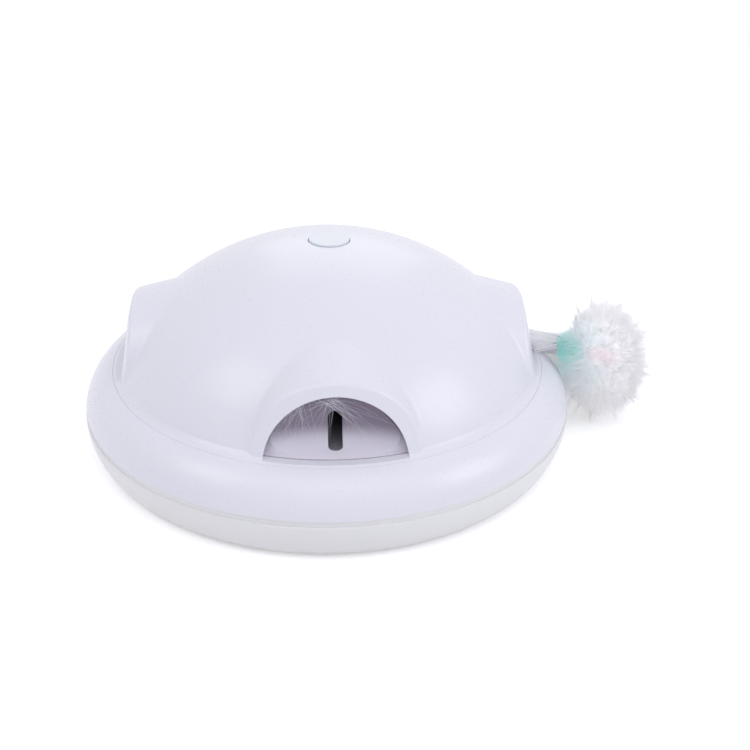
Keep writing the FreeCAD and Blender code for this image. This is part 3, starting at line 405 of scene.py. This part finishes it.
def smooth_step(low: float, high: float, value: np.ndarray) -> np.ndarray:
    """Soft step from 0 at low to 1 at high.

    Args:
        low: Where it starts.
        high: Where it ends.
        value: The numbers to map.

    Returns:
        The numbers between 0 and 1.
    """
    t = np.clip((value - low) / (high - low), 0.0, 1.0)
    return t * t * (3.0 - 2.0 * t)


def blend_dye(base: np.ndarray, dye: Colour, share: np.ndarray) -> np.ndarray:
    """Mix a dye into colours.

    Args:
        base: Colours, (..., 3).
        dye: The colour mixed in.
        share: How much of it, without the last axis.

    Returns:
        The mixed colours.
    """
    return base + (np.array(dye) - base) * share[..., None]


def arched(start: np.ndarray, last: np.ndarray, bow: np.ndarray) -> np.ndarray:
    """Paths of hairs that bow out half-way between their roots and their tips.

    Args:
        start: Roots, (n, 3).
        last: Tips, (n, 3).
        bow: How far each bows out, (n, 1, 3), or one for all, (3,).

    Returns:
        Points of each hair, (n, steps + 1, 3).
    """
    t = Fibre().stations()[None, :, None]
    return start[:, None] * (1 - t) + last[:, None] * t + bow * 4.0 * t * (1 - t)


@dataclass
class FurPuff:
    """Fur ball at the end of the wand, combed away from the sleeve that ties it.

    Sizes and places are in millimetres. A Span is a range, where no comment says otherwise.
    """

    centre: Point = (140.2, 0.0, 31.8)
    half: Point = (20.6, 28.0, 29.8)
    root: Point = (118.0, -3.0, 38.4)
    root_half: float = 5.4
    neck_round: float = 9.5
    neck_margin: float = 1.5
    # The ball of underfur, as a share of the whole, and its lumps.
    skin: float = 0.80
    skin_steps: int = 6
    skin_seed: int = 5
    lump_edge: float = 0.985
    lump_scatter: float = 0.12
    lump_height: float = 0.9
    # The hairs that cover it, which lean together in tufts.
    seed: int = 11
    hairs: int = 7600
    hair_radius: float = 0.15
    tufts: int = 420
    tip_scatter: float = 0.03
    # Shares of a hair's own way and of its tuft's in where its tip goes.
    tuft_pull: Span = (0.6, 0.4)
    # Mean and scatter of how far out the tips reach.
    tip_rise: Span = (0.985, 0.03)
    # How far below and above the skin the roots lie.
    root_depth: Span = (0.12, 0.02)
    combed: Span = (1.5, 4.0)
    comb_share: float = 0.85
    lift: float = 1.1
    lift_scatter: float = 0.35
    # Stray locks: the angle in the photograph's plane, the length and the spread of each.
    locks: tuple[tuple[float, float, float], ...] = (
        (128.0, 5.0, 0.9), (118.0, 6.5, 0.5), (100.0, 6.0, 1.2), (86.0, 7.0, 1.4), (70.0, 4.5, 0.8),
        (48.0, 5.0, 0.7), (31.0, 8.5, 0.6), (26.0, 6.5, 0.4), (-6.0, 5.5, 0.8), (-13.0, 7.0, 0.6),
        (-20.0, 6.5, 0.5), (-44.0, 7.5, 0.6), (-53.0, 5.5, 1.2), (-75.0, 5.0, 1.4), (-100.0, 5.0, 1.0),
        (-116.0, 6.5, 0.6), (-124.0, 7.5, 0.4))
    lock_hairs: int = 13
    lock_thickness: float = 0.7
    # Painted shade: the stray locks' dyes are darkened by this factor.
    lock_painted_shade: float = 0.72
    lock_root: float = 0.9
    lock_reach: float = 3.2
    lock_uneven: Span = (0.0, 0.6)
    # Scatter of the roots and of the tips: its least, and what a spread of 1 adds.
    lock_root_scatter: Span = (0.7, 0.6)
    lock_tip_scatter: Span = (0.3, 0.5)
    lock_sway: float = 0.9
    lock_rise: float = 0.3
    lock_bow_scatter: float = 0.25
    # The photograph's right and up, seen from its camera.
    plane_right: Point = (0.9975, -0.07, 0.0)
    plane_up: Point = (0.03, 0.47, 0.88)
    # Thin hairs that drift over the brim.
    loose_thickness: float = 0.6
    loose_bow_scatter: float = 0.4
    veil_hairs: int = 1500
    veil_side: Point = (-0.80, -0.42, -0.18)
    veil_spread: float = 0.30
    veil_root: float = 0.88
    veil_way: Point = (-0.75, -0.12, -0.22)
    veil_scatter: float = 0.20
    veil_length: Span = (4.0, 15.0)
    veil_bow: Point = (0.0, -0.4, 0.8)
    veil_pale: float = 0.5
    # Pale hairs that lie on the brim below the neck.
    beard_hairs: int = 500
    beard_root: Point = (119.5, -4.5, 34.6)
    beard_spread: Point = (1.2, 3.6, 1.8)
    beard_way: Point = (-1.0, -0.1, 0.05)
    beard_scatter: Point = (0.1, 0.22, 0.12)
    beard_length: Span = (4.0, 11.0)
    beard_bow: Point = (0.0, -0.2, 0.7)
    beard_tone: Span = (0.85, 1.0)
    # Short dyed hairs that spread from the neck.
    root_hairs: int = 900
    root_thickness: float = 0.8
    root_ring: Span = (0.5, 1.0)
    root_shift: Span = (-3.5, 0.5)
    root_length: Span = (4.0, 8.5)
    root_way: Point = (0.75, -0.1, -0.15)
    root_bow: Point = (-1.0, 0.0, 0.0)
    root_bow_out: float = 0.6
    root_bow_scatter: float = 0.3
    # Dyes, each over a range of distances from the root, and the way from which light reaches them.
    light_way: Point = (0.1, -0.55, 0.75)
    dye_scatter: float = 1.3
    dye_squash: Point = (1.0, 0.8, 1.0)
    dye_depth: float = 20.0
    white_tone: Span = (0.96, 1.0)
    sky_reach: Span = (11.0, 27.0)
    # Share of the pale blue above the root, and what is added below it.
    sky_share: Span = (0.35, 0.6)
    pink_place: Point = (133.0, -19.0, 43.0)
    pink_squash: Point = (0.9, 0.6, 1.9)
    pink_reach: Span = (2.0, 9.5)
    pink_share: float = 0.55
    mint_reach: Span = (5.5, 12.5)
    mint_drop: float = 3.0
    teal_reach: Span = (2.5, 7.0)
    white: Colour = (0.975, 0.97, 0.985)
    mint: Colour = (0.48, 0.97, 0.93)
    teal: Colour = (0.20, 0.88, 0.75)
    sky: Colour = (0.72, 0.93, 0.97)
    pink: Colour = (0.97, 0.76, 0.84)

    def dyes(self, points: np.ndarray, random: np.random.Generator) -> np.ndarray:
        """Colour of the fur at points, in millimetres.

        Args:
            points: Places on the hairs, (hairs, steps, 3).
            random: Source of the differences between hairs.

        Returns:
            Colours, (hairs, steps, 3).
        """
        away = points - np.array(self.root)
        jitter = random.normal(0.0, self.dye_scatter, (len(points), 1))
        reach = np.linalg.norm(away * self.dye_squash, axis=2) + jitter
        below = np.clip(-away[..., 2] / self.dye_depth, 0.0, 1.0)
        tone = random.uniform(*self.white_tone, (len(points), 1, 1))
        colours = np.ones(points.shape) * np.array(self.white) * tone
        sky = (1.0 - smooth_step(*self.sky_reach, reach)) * (self.sky_share[0] + self.sky_share[1] * below)
        colours = blend_dye(colours, self.sky, sky)
        near_pink = np.linalg.norm((points - self.pink_place) * self.pink_squash, axis=2) + jitter
        pink = self.pink_share * (1.0 - smooth_step(*self.pink_reach, near_pink))
        colours = blend_dye(colours, self.pink, pink)
        mint = 1.0 - smooth_step(*self.mint_reach, reach - self.mint_drop * below)
        colours = blend_dye(colours, self.mint, mint)
        return blend_dye(colours, self.teal, 1.0 - smooth_step(*self.teal_reach, reach))

    def flow(self, out: np.ndarray) -> np.ndarray:
        """Direction in which the fur lies, away from the root along the ball.

        Args:
            out: Unit directions from the ball's centre, (n, 3).

        Returns:
            Unit directions, (n, 3).
        """
        away = np.array(self.centre) + out * self.half - np.array(self.root)
        return unit(away - out * (away * out).sum(axis=1, keepdims=True) * self.comb_share)

    def paths(self, out: np.ndarray, random: np.random.Generator) -> np.ndarray:
        """Paths of hairs that rise from the skin and lie away from the root.

        Args:
            out: Unit directions in which the hairs start, (n, 3).
            random: Source of their differences.

        Returns:
            Points of each hair in millimetres, (n, steps + 1, 3).
        """
        count = len(out)
        tufts = unit(random.normal(size=(self.tufts, 3)))
        nearest = tufts[np.argmax(out @ tufts.T, axis=1)]
        pulled = out * self.tuft_pull[0] + nearest * self.tuft_pull[1]
        end_out = unit(pulled + random.normal(0.0, self.tip_scatter, (count, 3)))
        depth = random.uniform(self.skin - self.root_depth[0], self.skin + self.root_depth[1], (count, 1))
        start = np.array(self.centre) + out * self.half * depth
        rise = random.normal(*self.tip_rise, (count, 1))
        lie = self.flow(out) * random.uniform(*self.combed, (count, 1))
        end = np.array(self.centre) + end_out * self.half * rise + lie
        lift = (out * self.lift + random.normal(0.0, self.lift_scatter, (count, 3)))[:, None]
        path = arched(start, end, lift)
        off_neck = np.linalg.norm((path - np.array(self.root))[..., 1:], axis=2)
        on_neck = (path[..., 0] < self.root[0] + self.neck_margin) & (off_neck < self.neck_round)
        return path[~on_neck.any(axis=1)]

    def lock_paths(self, random: np.random.Generator) -> np.ndarray:
        """Paths of the stray locks that break the ball's outline.

        Args:
            random: Source of their differences.

        Returns:
            Points of each hair in millimetres, (n, steps + 1, 3).
        """
        right, up = np.array(self.plane_right), np.array(self.plane_up)
        size = (self.lock_hairs, 3)
        made = []
        for angle, length, spread in self.locks:
            a = math.radians(angle)
            way = right * math.cos(a) + up * math.sin(a)
            out = unit(way / self.half)
            edge = np.array(self.centre) + out * self.half * self.lock_root
            root_scatter = self.lock_root_scatter[0] + self.lock_root_scatter[1] * spread
            tip_scatter = self.lock_tip_scatter[0] + self.lock_tip_scatter[1] * spread
            start = edge + random.normal(0.0, root_scatter, size)
            last = edge + way * (self.lock_reach + length) + random.normal(0.0, tip_scatter, size)
            last -= way * random.uniform(*self.lock_uneven, (self.lock_hairs, 1)) * length
            side = random.normal(0.0, self.lock_sway, 3) + up * self.lock_rise
            bow = (random.normal(0.0, self.lock_bow_scatter, size) + side)[:, None]
            made.append(arched(start, last, bow))
        return np.concatenate(made)

    def veil_paths(self, random: np.random.Generator) -> np.ndarray:
        """Paths of the thin hairs that drift from the root over the brim.

        Args:
            random: Source of their differences.

        Returns:
            Points of each hair in millimetres, (n, steps + 1, 3).
        """
        count = self.veil_hairs
        out = unit(np.array(self.veil_side) + random.normal(0.0, self.veil_spread, (count, 3)))
        start = np.array(self.centre) + out * self.half * self.veil_root
        drift = np.array(self.veil_way) + random.normal(0.0, self.veil_scatter, (count, 3))
        last = start + drift * random.uniform(*self.veil_length, (count, 1))
        bow = random.normal(0.0, self.loose_bow_scatter, (count, 1, 3)) + self.veil_bow
        return self.clear_of_brim(arched(start, last, bow))

    def beard_paths(self, random: np.random.Generator) -> np.ndarray:
        """Paths of the pale hairs that lie on the brim below the neck.

        Args:
            random: Source of their differences.

        Returns:
            Points of each hair in millimetres, (n, steps + 1, 3).
        """
        count = self.beard_hairs
        start = np.array(self.beard_root) + random.normal(0.0, 1.0, (count, 3)) * self.beard_spread
        way = np.array(self.beard_way) + random.normal(0.0, 1.0, (count, 3)) * self.beard_scatter
        last = start + way * random.uniform(*self.beard_length, (count, 1))
        bow = random.normal(0.0, self.loose_bow_scatter, (count, 1, 3)) + self.beard_bow
        return self.clear_of_brim(arched(start, last, bow))

    def root_paths(self, random: np.random.Generator) -> np.ndarray:
        """Paths of the short dyed hairs that spread from the neck over the ball.

        Args:
            random: Source of their differences.

        Returns:
            Points of each hair in millimetres, (n, steps + 1, 3).
        """
        count = self.root_hairs
        angle = random.uniform(0.0, 2.0 * math.pi, count)
        round_way = np.stack([np.zeros(count), np.cos(angle), np.sin(angle)], axis=1)
        ring = random.uniform(*self.root_ring, (count, 1))
        start = np.array(self.root) + round_way * self.root_half * ring
        start[:, 0] += random.uniform(*self.root_shift, count)
        reach = random.uniform(*self.root_length, (count, 1))
        last = start + round_way * reach + np.array(self.root_way) * reach
        bow = random.normal(0.0, self.root_bow_scatter, (count, 1, 3)) + self.root_bow
        return self.clear_of_brim(arched(start, last, bow + self.root_bow_out * round_way[:, None]))

    @staticmethod
    def clear_of_brim(points: np.ndarray) -> np.ndarray:
        """Push points out of the rounded brim.

        Args:
            points: Places in millimetres, (..., 3).

        Returns:
            The places, none of them inside the brim.
        """
        rise = np.clip(points[..., 2] - BRIM_Z, 0.0, CROWN_ROUND)
        edge = CROWN_R + np.sqrt(CROWN_ROUND ** 2 - rise ** 2) + BRIM_AIR
        spread = np.hypot(points[..., 0], points[..., 1])
        inside = (spread < edge) & (points[..., 2] < BRIM_Z + CROWN_ROUND)
        scale = np.where(inside, edge / np.maximum(spread, 1.0), 1.0)
        return points * np.stack([scale, scale, np.ones(scale.shape)], axis=-1)

    def facing(self, points: np.ndarray) -> np.ndarray:
        """Direction in which the ball's fur catches the light at points."""
        outward = unit((points - np.array(self.centre)) / np.array(self.half) ** 2)
        return unit(outward + np.array(self.light_way))

    def skin_ball(self, material: bpy.types.Material) -> bpy.types.Object:
        """Model the soft underfur as a lumpy ball.

        Args:
            material: The fur's material.

        Returns:
            The ball.
        """
        deselect_all()
        centre = [c * MM for c in self.centre]
        bpy.ops.mesh.primitive_ico_sphere_add(subdivisions=self.skin_steps, radius=1.0, location=(0, 0, 0))
        ball = bpy.context.object
        ball.name = "fur_puff_underfur"
        bpy.ops.object.mode_set(mode="EDIT")
        bpy.ops.mesh.select_all(action="SELECT")
        bpy.ops.transform.resize(value=[h * MM * self.skin for h in self.half])
        bpy.ops.transform.translate(value=centre)
        bpy.ops.object.mode_set(mode="OBJECT")
        random = np.random.default_rng(self.skin_seed)
        points = np.array([v.co for v in ball.data.vertices]) / MM
        out = unit((points - np.array(self.centre)) / self.half)
        tufts = unit(random.normal(size=(self.tufts, 3)))
        close = np.max(out @ tufts.T, axis=1)
        rough = random.normal(0.0, self.lump_scatter, len(points))
        lumps = smooth_step(self.lump_edge, 1.0, close) - 0.5 + rough
        points += out * lumps[:, None] * self.lump_height
        ball.data.vertices.foreach_set("co", (points * MM).astype(np.float32).ravel())
        dye = ball.data.color_attributes.new(FUR.attribute, "FLOAT_COLOR", "POINT")
        shown = np.ones((len(points), 4), np.float32)
        shown[:, :3] = self.dyes(points[:, None], random)[:, 0]
        dye.data.foreach_set("color", shown.ravel())
        bpy.ops.object.shade_smooth()
        ball.data.materials.append(material)
        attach(ball, Body.WAND.value)
        return ball

    def _tuft(self, name: str, paths: np.ndarray, thickness: float, dyes: np.ndarray,
              material: bpy.types.Material) -> None:
        """Grow one group of the ball's hairs.

        Args:
            name: Name of the group.
            paths: Points of each hair, (n, steps + 1, 3).
            thickness: How thick its hairs are, beside those that cover the ball.
            dyes: Colour at each point.
            material: The fur's material.
        """
        Fur(name, Body.WAND, "fur_white").grow(
            paths, np.full(len(paths), thickness * self.hair_radius), dyes, self.facing(paths), material)

    def build(self, material: bpy.types.Material) -> None:
        """Grow the ball's underfur and all the hairs on it and round it.

        Args:
            material: The fur's material.
        """
        random = np.random.default_rng(self.seed)
        ball = self.skin_ball(material)
        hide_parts("fur_puff")
        hairs = self.paths(unit(random.normal(size=(self.hairs, 3))), random)
        self._tuft("fur_puff_hairs", hairs, 1.0, self.dyes(hairs, random), material)
        locks = self.lock_paths(random)
        # Painted shade: the locks wear darker copies of the ball's dyes.
        lock_dyes_in_painted_shade = self.dyes(locks, random) * self.lock_painted_shade
        self._tuft("fur_puff_locks", locks, self.lock_thickness, lock_dyes_in_painted_shade, material)
        veil = self.veil_paths(random)
        pale = blend_dye(self.dyes(veil, random), self.white, np.full(veil.shape[:2], self.veil_pale))
        self._tuft("fur_puff_veil", veil, self.loose_thickness, pale, material)
        beard = self.beard_paths(random)
        tone = random.uniform(*self.beard_tone, (len(beard), 1, 1))
        light = np.ones(beard.shape) * np.array(self.white) * tone
        self._tuft("fur_puff_beard", beard, self.loose_thickness, light, material)
        short = self.root_paths(random)
        self._tuft("fur_puff_root", short, self.root_thickness, self.dyes(short, random), material)


@dataclass
class FurNeck:
    """Underfur drawn out of the window towards the ball, in millimetres; its grey is painted shade, with
    painted light on its top and painted shade on its underside.
    """

    seed: int = 23
    start: Point = (98.0, 0.0, 44.4)
    end: Point = (117.0, 0.3, 40.3)
    start_half: tuple[float, float] = (5.0, 5.2)
    end_half: tuple[float, float] = (5.7, 6.2)
    hairs: int = 3400
    hair_radius: float = 0.2
    # Where a hair begins and how long it is, as shares of the way from start to end.
    begin: Span = (-0.05, 0.45)
    length: Span = (0.4, 0.62)
    # How far out the hairs lie, as shares of the neck's area, and the neck's waist, lobes and twist.
    layer: Span = (0.45, 1.0)
    waist: float = 0.12
    lobes: float = 5.0
    lobe_height: float = 0.06
    lobe_scatter: float = 0.02
    twist: float = 0.25
    tone: Span = (0.9, 1.12)
    # Painted light on the neck's top and painted shade on its underside: their shares and where they start.
    top_light_share: float = 0.45
    top_light_from: float = 0.2
    under_shade_share: float = 0.6
    under_shade_fade: float = 0.4
    light_way: Point = (0.0, -0.4, 0.6)
    strand_radius: float = 0.17
    strand_bow: Point = (0.0, -0.5, 0.7)
    strand_facing: Point = (0.0, -0.8, 0.6)
    strands: tuple[tuple[Point, Point], ...] = (
        ((103.0, -5.5, 39.6), (121.0, -5.5, 45.0)), ((103.5, -5.8, 40.4), (120.0, -6.0, 44.2)),
        ((103.0, -5.2, 41.0), (122.0, -5.6, 47.0)), ((104.0, -6.2, 39.4), (119.0, -6.2, 42.2)),
        ((102.5, -5.0, 42.0), (119.0, -5.4, 47.4)))
    # Painted shade: the neck's white fur is coloured grey, and darker grey below; the pale white is the
    # strands' own colour and also the painted light on the neck's top.
    painted_shade_grey: Colour = (0.78, 0.79, 0.83)
    shade: Colour = (0.58, 0.59, 0.64)
    pale: Colour = (0.97, 0.97, 0.985)

    def build(self, material: bpy.types.Material) -> None:
        """Grow the neck.

        Args:
            material: The fur's material.
        """
        random = np.random.default_rng(self.seed)
        count = self.hairs
        angle = random.uniform(0.0, 2.0 * math.pi, (count, 1))
        share = np.sqrt(random.uniform(*self.layer, (count, 1)))
        t = Fibre().stations()[None, :]
        begin = random.uniform(*self.begin, (count, 1))
        along = begin + random.uniform(*self.length, (count, 1)) * t
        path = np.array(self.start) + (np.array(self.end) - np.array(self.start)) * along[..., None]
        width = self.start_half[0] + (self.end_half[0] - self.start_half[0]) * along
        height = self.start_half[1] + (self.end_half[1] - self.start_half[1]) * along
        pinch = 1.0 - self.waist * np.sin(np.clip(along, 0, 1) * math.pi)
        rough = random.normal(0.0, self.lobe_scatter, (count, 1))
        lump = 1.0 + self.lobe_height * np.sin(self.lobes * angle) + rough
        turn = angle + self.twist * along
        out = np.stack([np.zeros(along.shape), np.cos(turn), np.sin(turn)], axis=2)
        path[..., 1] += width * share * pinch * lump * out[..., 1]
        path[..., 2] += height * share * pinch * lump * out[..., 2]
        # Painted shade: the hairs take the grey, with painted light on the top and painted shade underneath.
        colours = np.ones(path.shape) * np.array(self.painted_shade_grey) * random.uniform(*self.tone, (count, 1, 1))
        top_light = self.top_light_share * smooth_step(self.top_light_from, 1.0, out[..., 2])
        colours = blend_dye(colours, self.pale, top_light)
        under_shade = self.under_shade_share * smooth_step(0.0, 1.0, -out[..., 2] - self.under_shade_fade * along)
        colours = blend_dye(colours, self.shade, under_shade)
        tuft = Fur("fur_neck_hairs", Body.WAND, "fur_grey").grow(
            path, np.full(count, self.hair_radius), colours, out + self.light_way, material)
        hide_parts("fur_neck")
        ends = np.array(self.strands)
        loose = arched(ends[:, 0], ends[:, 1], np.array(self.strand_bow))
        Fur("fur_neck_strands", Body.WAND, "fur_white").grow(
            loose, np.full(len(loose), self.strand_radius), np.ones(loose.shape) * np.array(self.pale),
            np.ones(loose.shape) * self.strand_facing, material)


@dataclass
class PocketWisp:
    """Thin white hairs that hang into the front pocket: a root and its tips for each fan, in millimetres."""

    seed: int = 31
    fans: tuple[tuple[Point, tuple[Point, ...]], ...] = (
        ((-15.0, -88.5, 58.5), (
            (-30.0, -91.0, 44.5), (-27.0, -92.0, 46.0), (-25.0, -91.0, 43.0), (-22.5, -90.0, 41.0),
            (-19.0, -90.0, 42.5), (-15.0, -90.5, 41.0), (-12.0, -90.0, 42.0), (-9.0, -90.0, 40.5))),
        ((-2.0, -89.0, 60.0), (
            (-22.0, -90.0, 53.0), (-17.0, -90.0, 50.0), (-12.0, -89.5, 48.0), (-7.0, -90.0, 42.0),
            (-3.0, -90.0, 41.0), (4.5, -90.0, 46.0))),
        ((-4.0, -89.0, 61.0), (
            (6.0, -90.0, 50.0), (9.0, -90.5, 48.5), (13.0, -90.0, 43.5), (16.0, -90.0, 42.0),
            (18.5, -90.5, 44.0), (21.5, -91.0, 48.5), (12.0, -90.0, 53.0))))
    each: int = 3
    spread: float = 1.7
    root_squash: Point = (1.4, 0.4, 0.6)
    tip_squash: Point = (1.0, 0.5, 1.0)
    bow: Point = (0.0, 0.0, 1.4)
    bow_squash: Point = (0.8, 0.2, 0.8)
    faces: Point = (0.0, -0.7, 0.7)
    hair_radius: float = 0.06
    white: Colour = (0.88, 0.88, 0.92)

    def build(self, material: bpy.types.Material) -> None:
        """Grow the wisp.

        Args:
            material: The fur's material.
        """
        random = np.random.default_rng(self.seed)
        made = []
        for root, tips in self.fans:
            size = (len(tips) * self.each, 3)
            start = np.array(root) + random.normal(0.0, self.spread, size) * self.root_squash
            end = np.repeat(np.array(tips), self.each, axis=0)
            end = end + random.normal(0.0, self.spread, size) * self.tip_squash
            bow = random.normal(0.0, 1.0, (len(start), 1, 3)) * self.bow_squash + self.bow
            made.append(arched(start, end, bow))
        path = np.concatenate(made)
        tuft = Fur("pocket_wisp_hairs", Body.ROTOR, "fur_white").grow(
            path, np.full(len(path), self.hair_radius), np.ones(path.shape) * np.array(self.white),
            np.ones(path.shape) * self.faces, material)
        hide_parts("pocket_wisp")


@dataclass(frozen=True)
class Lamp:
    """A soft square lamp that looks at the toy, in metres and watts."""

    name: str
    place: Point
    size: float
    power: float
    colour: Colour
    aim: Point = (0.0, 0.0, 0.04)

    def hang(self) -> None:
        """Hang the lamp in the studio."""
        data = bpy.data.lights.new(self.name, "AREA")
        data.size, data.energy, data.color = self.size, self.power, self.colour
        lamp = bpy.data.objects.new(self.name, data)
        lamp.location = self.place
        lamp.rotation_euler = (Vector(self.aim) - Vector(self.place)).to_track_quat("-Z", "Y").to_euler()
        bpy.context.scene.collection.objects.link(lamp)


@dataclass
class Studio:
    """White sweep, soft lamps and the camera of the photograph, in metres and degrees."""

    camera_place: Point = (-0.012045, -0.432979, 0.256170)
    camera_turn: Point = (61.9068, -1.139, -4.0521)
    lens: float = 46.308
    sensor_width: float = 36.0
    clip_start: float = 0.01
    lamps: tuple[Lamp, ...] = (
        Lamp("top_lamp", (0.05, -0.7, 1.3), 1.0, 2.9, (1.0, 0.99, 0.98)),
        Lamp("left_lamp", (-0.84, -0.36, 0.98), 0.55, 2.0, (1.0, 0.99, 0.97)),
        Lamp("right_lamp", (1.02, -0.46, 0.70), 0.60, 3.1, (0.96, 0.98, 1.0)),
        Lamp("back_lamp", (0.1, 1.2, 0.9), 1.0, 2.4, (1.0, 1.0, 1.0)))
    floor_size: float = 12.0
    floor_colour: Colour = (0.86, 0.86, 0.86)
    floor_roughness: float = 0.9
    floor_glow: float = 0.34
    fade_from: float = 0.30
    fade_to: float = 0.65
    sky: Colour = (0.90, 0.91, 1.0)
    sky_level: float = 0.72

    def build(self) -> None:
        """Make the floor, the world, the lamps and the camera."""
        self._camera()
        self._world()
        self._floor()
        for lamp in self.lamps:
            lamp.hang()

    def _camera(self) -> None:
        """Put the camera where the photograph was taken from."""
        data = bpy.data.cameras.new("camera")
        data.lens, data.sensor_width, data.clip_start = self.lens, self.sensor_width, self.clip_start
        camera = bpy.data.objects.new("camera", data)
        camera.location = self.camera_place
        camera.rotation_euler = [math.radians(a) for a in self.camera_turn]
        bpy.context.scene.collection.objects.link(camera)
        bpy.context.scene.camera = camera

    def _world(self) -> None:
        """Light the object softly from all sides and show white behind it."""
        world = bpy.data.worlds.new("studio")
        world.use_nodes = True
        nodes, links = world.node_tree.nodes, world.node_tree.links
        nodes.clear()
        out = nodes.new("ShaderNodeOutputWorld")
        light = nodes.new("ShaderNodeBackground")
        light.inputs["Color"].default_value = (*self.sky, 1.0)
        light.inputs["Strength"].default_value = self.sky_level
        white = nodes.new("ShaderNodeBackground")
        white.inputs["Color"].default_value = (1.0, 1.0, 1.0, 1.0)
        choose = nodes.new("ShaderNodeMixShader")
        links.new(seen_ray(world.node_tree), choose.inputs["Fac"])
        links.new(light.outputs["Background"], choose.inputs[1])
        links.new(white.outputs["Background"], choose.inputs[2])
        links.new(choose.outputs["Shader"], out.inputs["Surface"])
        bpy.context.scene.world = world

    def _floor(self) -> None:
        """Lay a pale floor that shows white but keeps the toy's shadow."""
        deselect_all()
        bpy.ops.mesh.primitive_plane_add(size=self.floor_size, location=(0, 0, 0))
        floor = bpy.context.object
        floor.name = "studio_floor"
        made = bpy.data.materials.new("studio_floor")
        made.use_nodes = True
        nodes, links = made.node_tree.nodes, made.node_tree.links
        shader = nodes["Principled BSDF"]
        shader.inputs["Base Color"].default_value = (*self.floor_colour, 1.0)
        shader.inputs["Roughness"].default_value = self.floor_roughness
        shader.inputs["Specular IOR Level"].default_value = 0.0
        glow = nodes.new("ShaderNodeEmission")
        glow.inputs["Strength"].default_value = self.floor_glow
        add = nodes.new("ShaderNodeAddShader")
        choose = nodes.new("ShaderNodeMixShader")
        links.new(shader.outputs["BSDF"], add.inputs[0])
        links.new(glow.outputs["Emission"], add.inputs[1])
        links.new(seen_ray(made.node_tree), choose.inputs["Fac"])
        links.new(shader.outputs["BSDF"], choose.inputs[1])
        white = nodes.new("ShaderNodeEmission")
        place = nodes.new("ShaderNodeTexCoord")
        far = nodes.new("ShaderNodeVectorMath")
        far.operation = "LENGTH"
        links.new(place.outputs["Object"], far.inputs[0])
        fade = nodes.new("ShaderNodeMapRange")
        fade.interpolation_type = "SMOOTHSTEP"
        fade.inputs["From Min"].default_value = self.fade_from
        fade.inputs["From Max"].default_value = self.fade_to
        links.new(far.outputs["Value"], fade.inputs["Value"])
        edge = nodes.new("ShaderNodeMixShader")
        links.new(fade.outputs["Result"], edge.inputs["Fac"])
        links.new(add.outputs["Shader"], edge.inputs[1])
        links.new(white.outputs["Emission"], edge.inputs[2])
        links.new(edge.outputs["Shader"], choose.inputs[2])
        links.new(choose.outputs["Shader"], nodes["Material Output"].inputs["Surface"])
        floor.data.materials.append(made)


def seen_ray(tree: bpy.types.NodeTree) -> bpy.types.NodeSocket:
    """Add nodes that are 1 for what the camera, gloss and glass see.

    Args:
        tree: The node tree that gets them.

    Returns:
        The socket that holds the number.
    """
    path = tree.nodes.new("ShaderNodeLightPath")
    first = tree.nodes.new("ShaderNodeMath")
    first.operation = "MAXIMUM"
    second = tree.nodes.new("ShaderNodeMath")
    second.operation = "MAXIMUM"
    tree.links.new(path.outputs["Is Camera Ray"], first.inputs[0])
    tree.links.new(path.outputs["Is Glossy Ray"], first.inputs[1])
    tree.links.new(first.outputs["Value"], second.inputs[0])
    tree.links.new(path.outputs["Is Transmission Ray"], second.inputs[1])
    return second.outputs["Value"]


def main() -> None:
    """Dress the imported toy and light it."""
    logging.basicConfig(level=logging.INFO, format="%(message)s")
    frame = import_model()
    bpy.context.scene.view_settings.view_transform = "Standard"
    Studio().build()
    Dress().put_on(frame["nodes"])
    fur = FUR.material()
    FurPuff().build(fur)
    FurNeck().build(fur)
    PocketWisp().build(fur)


if __name__ == "__main__":
    main()
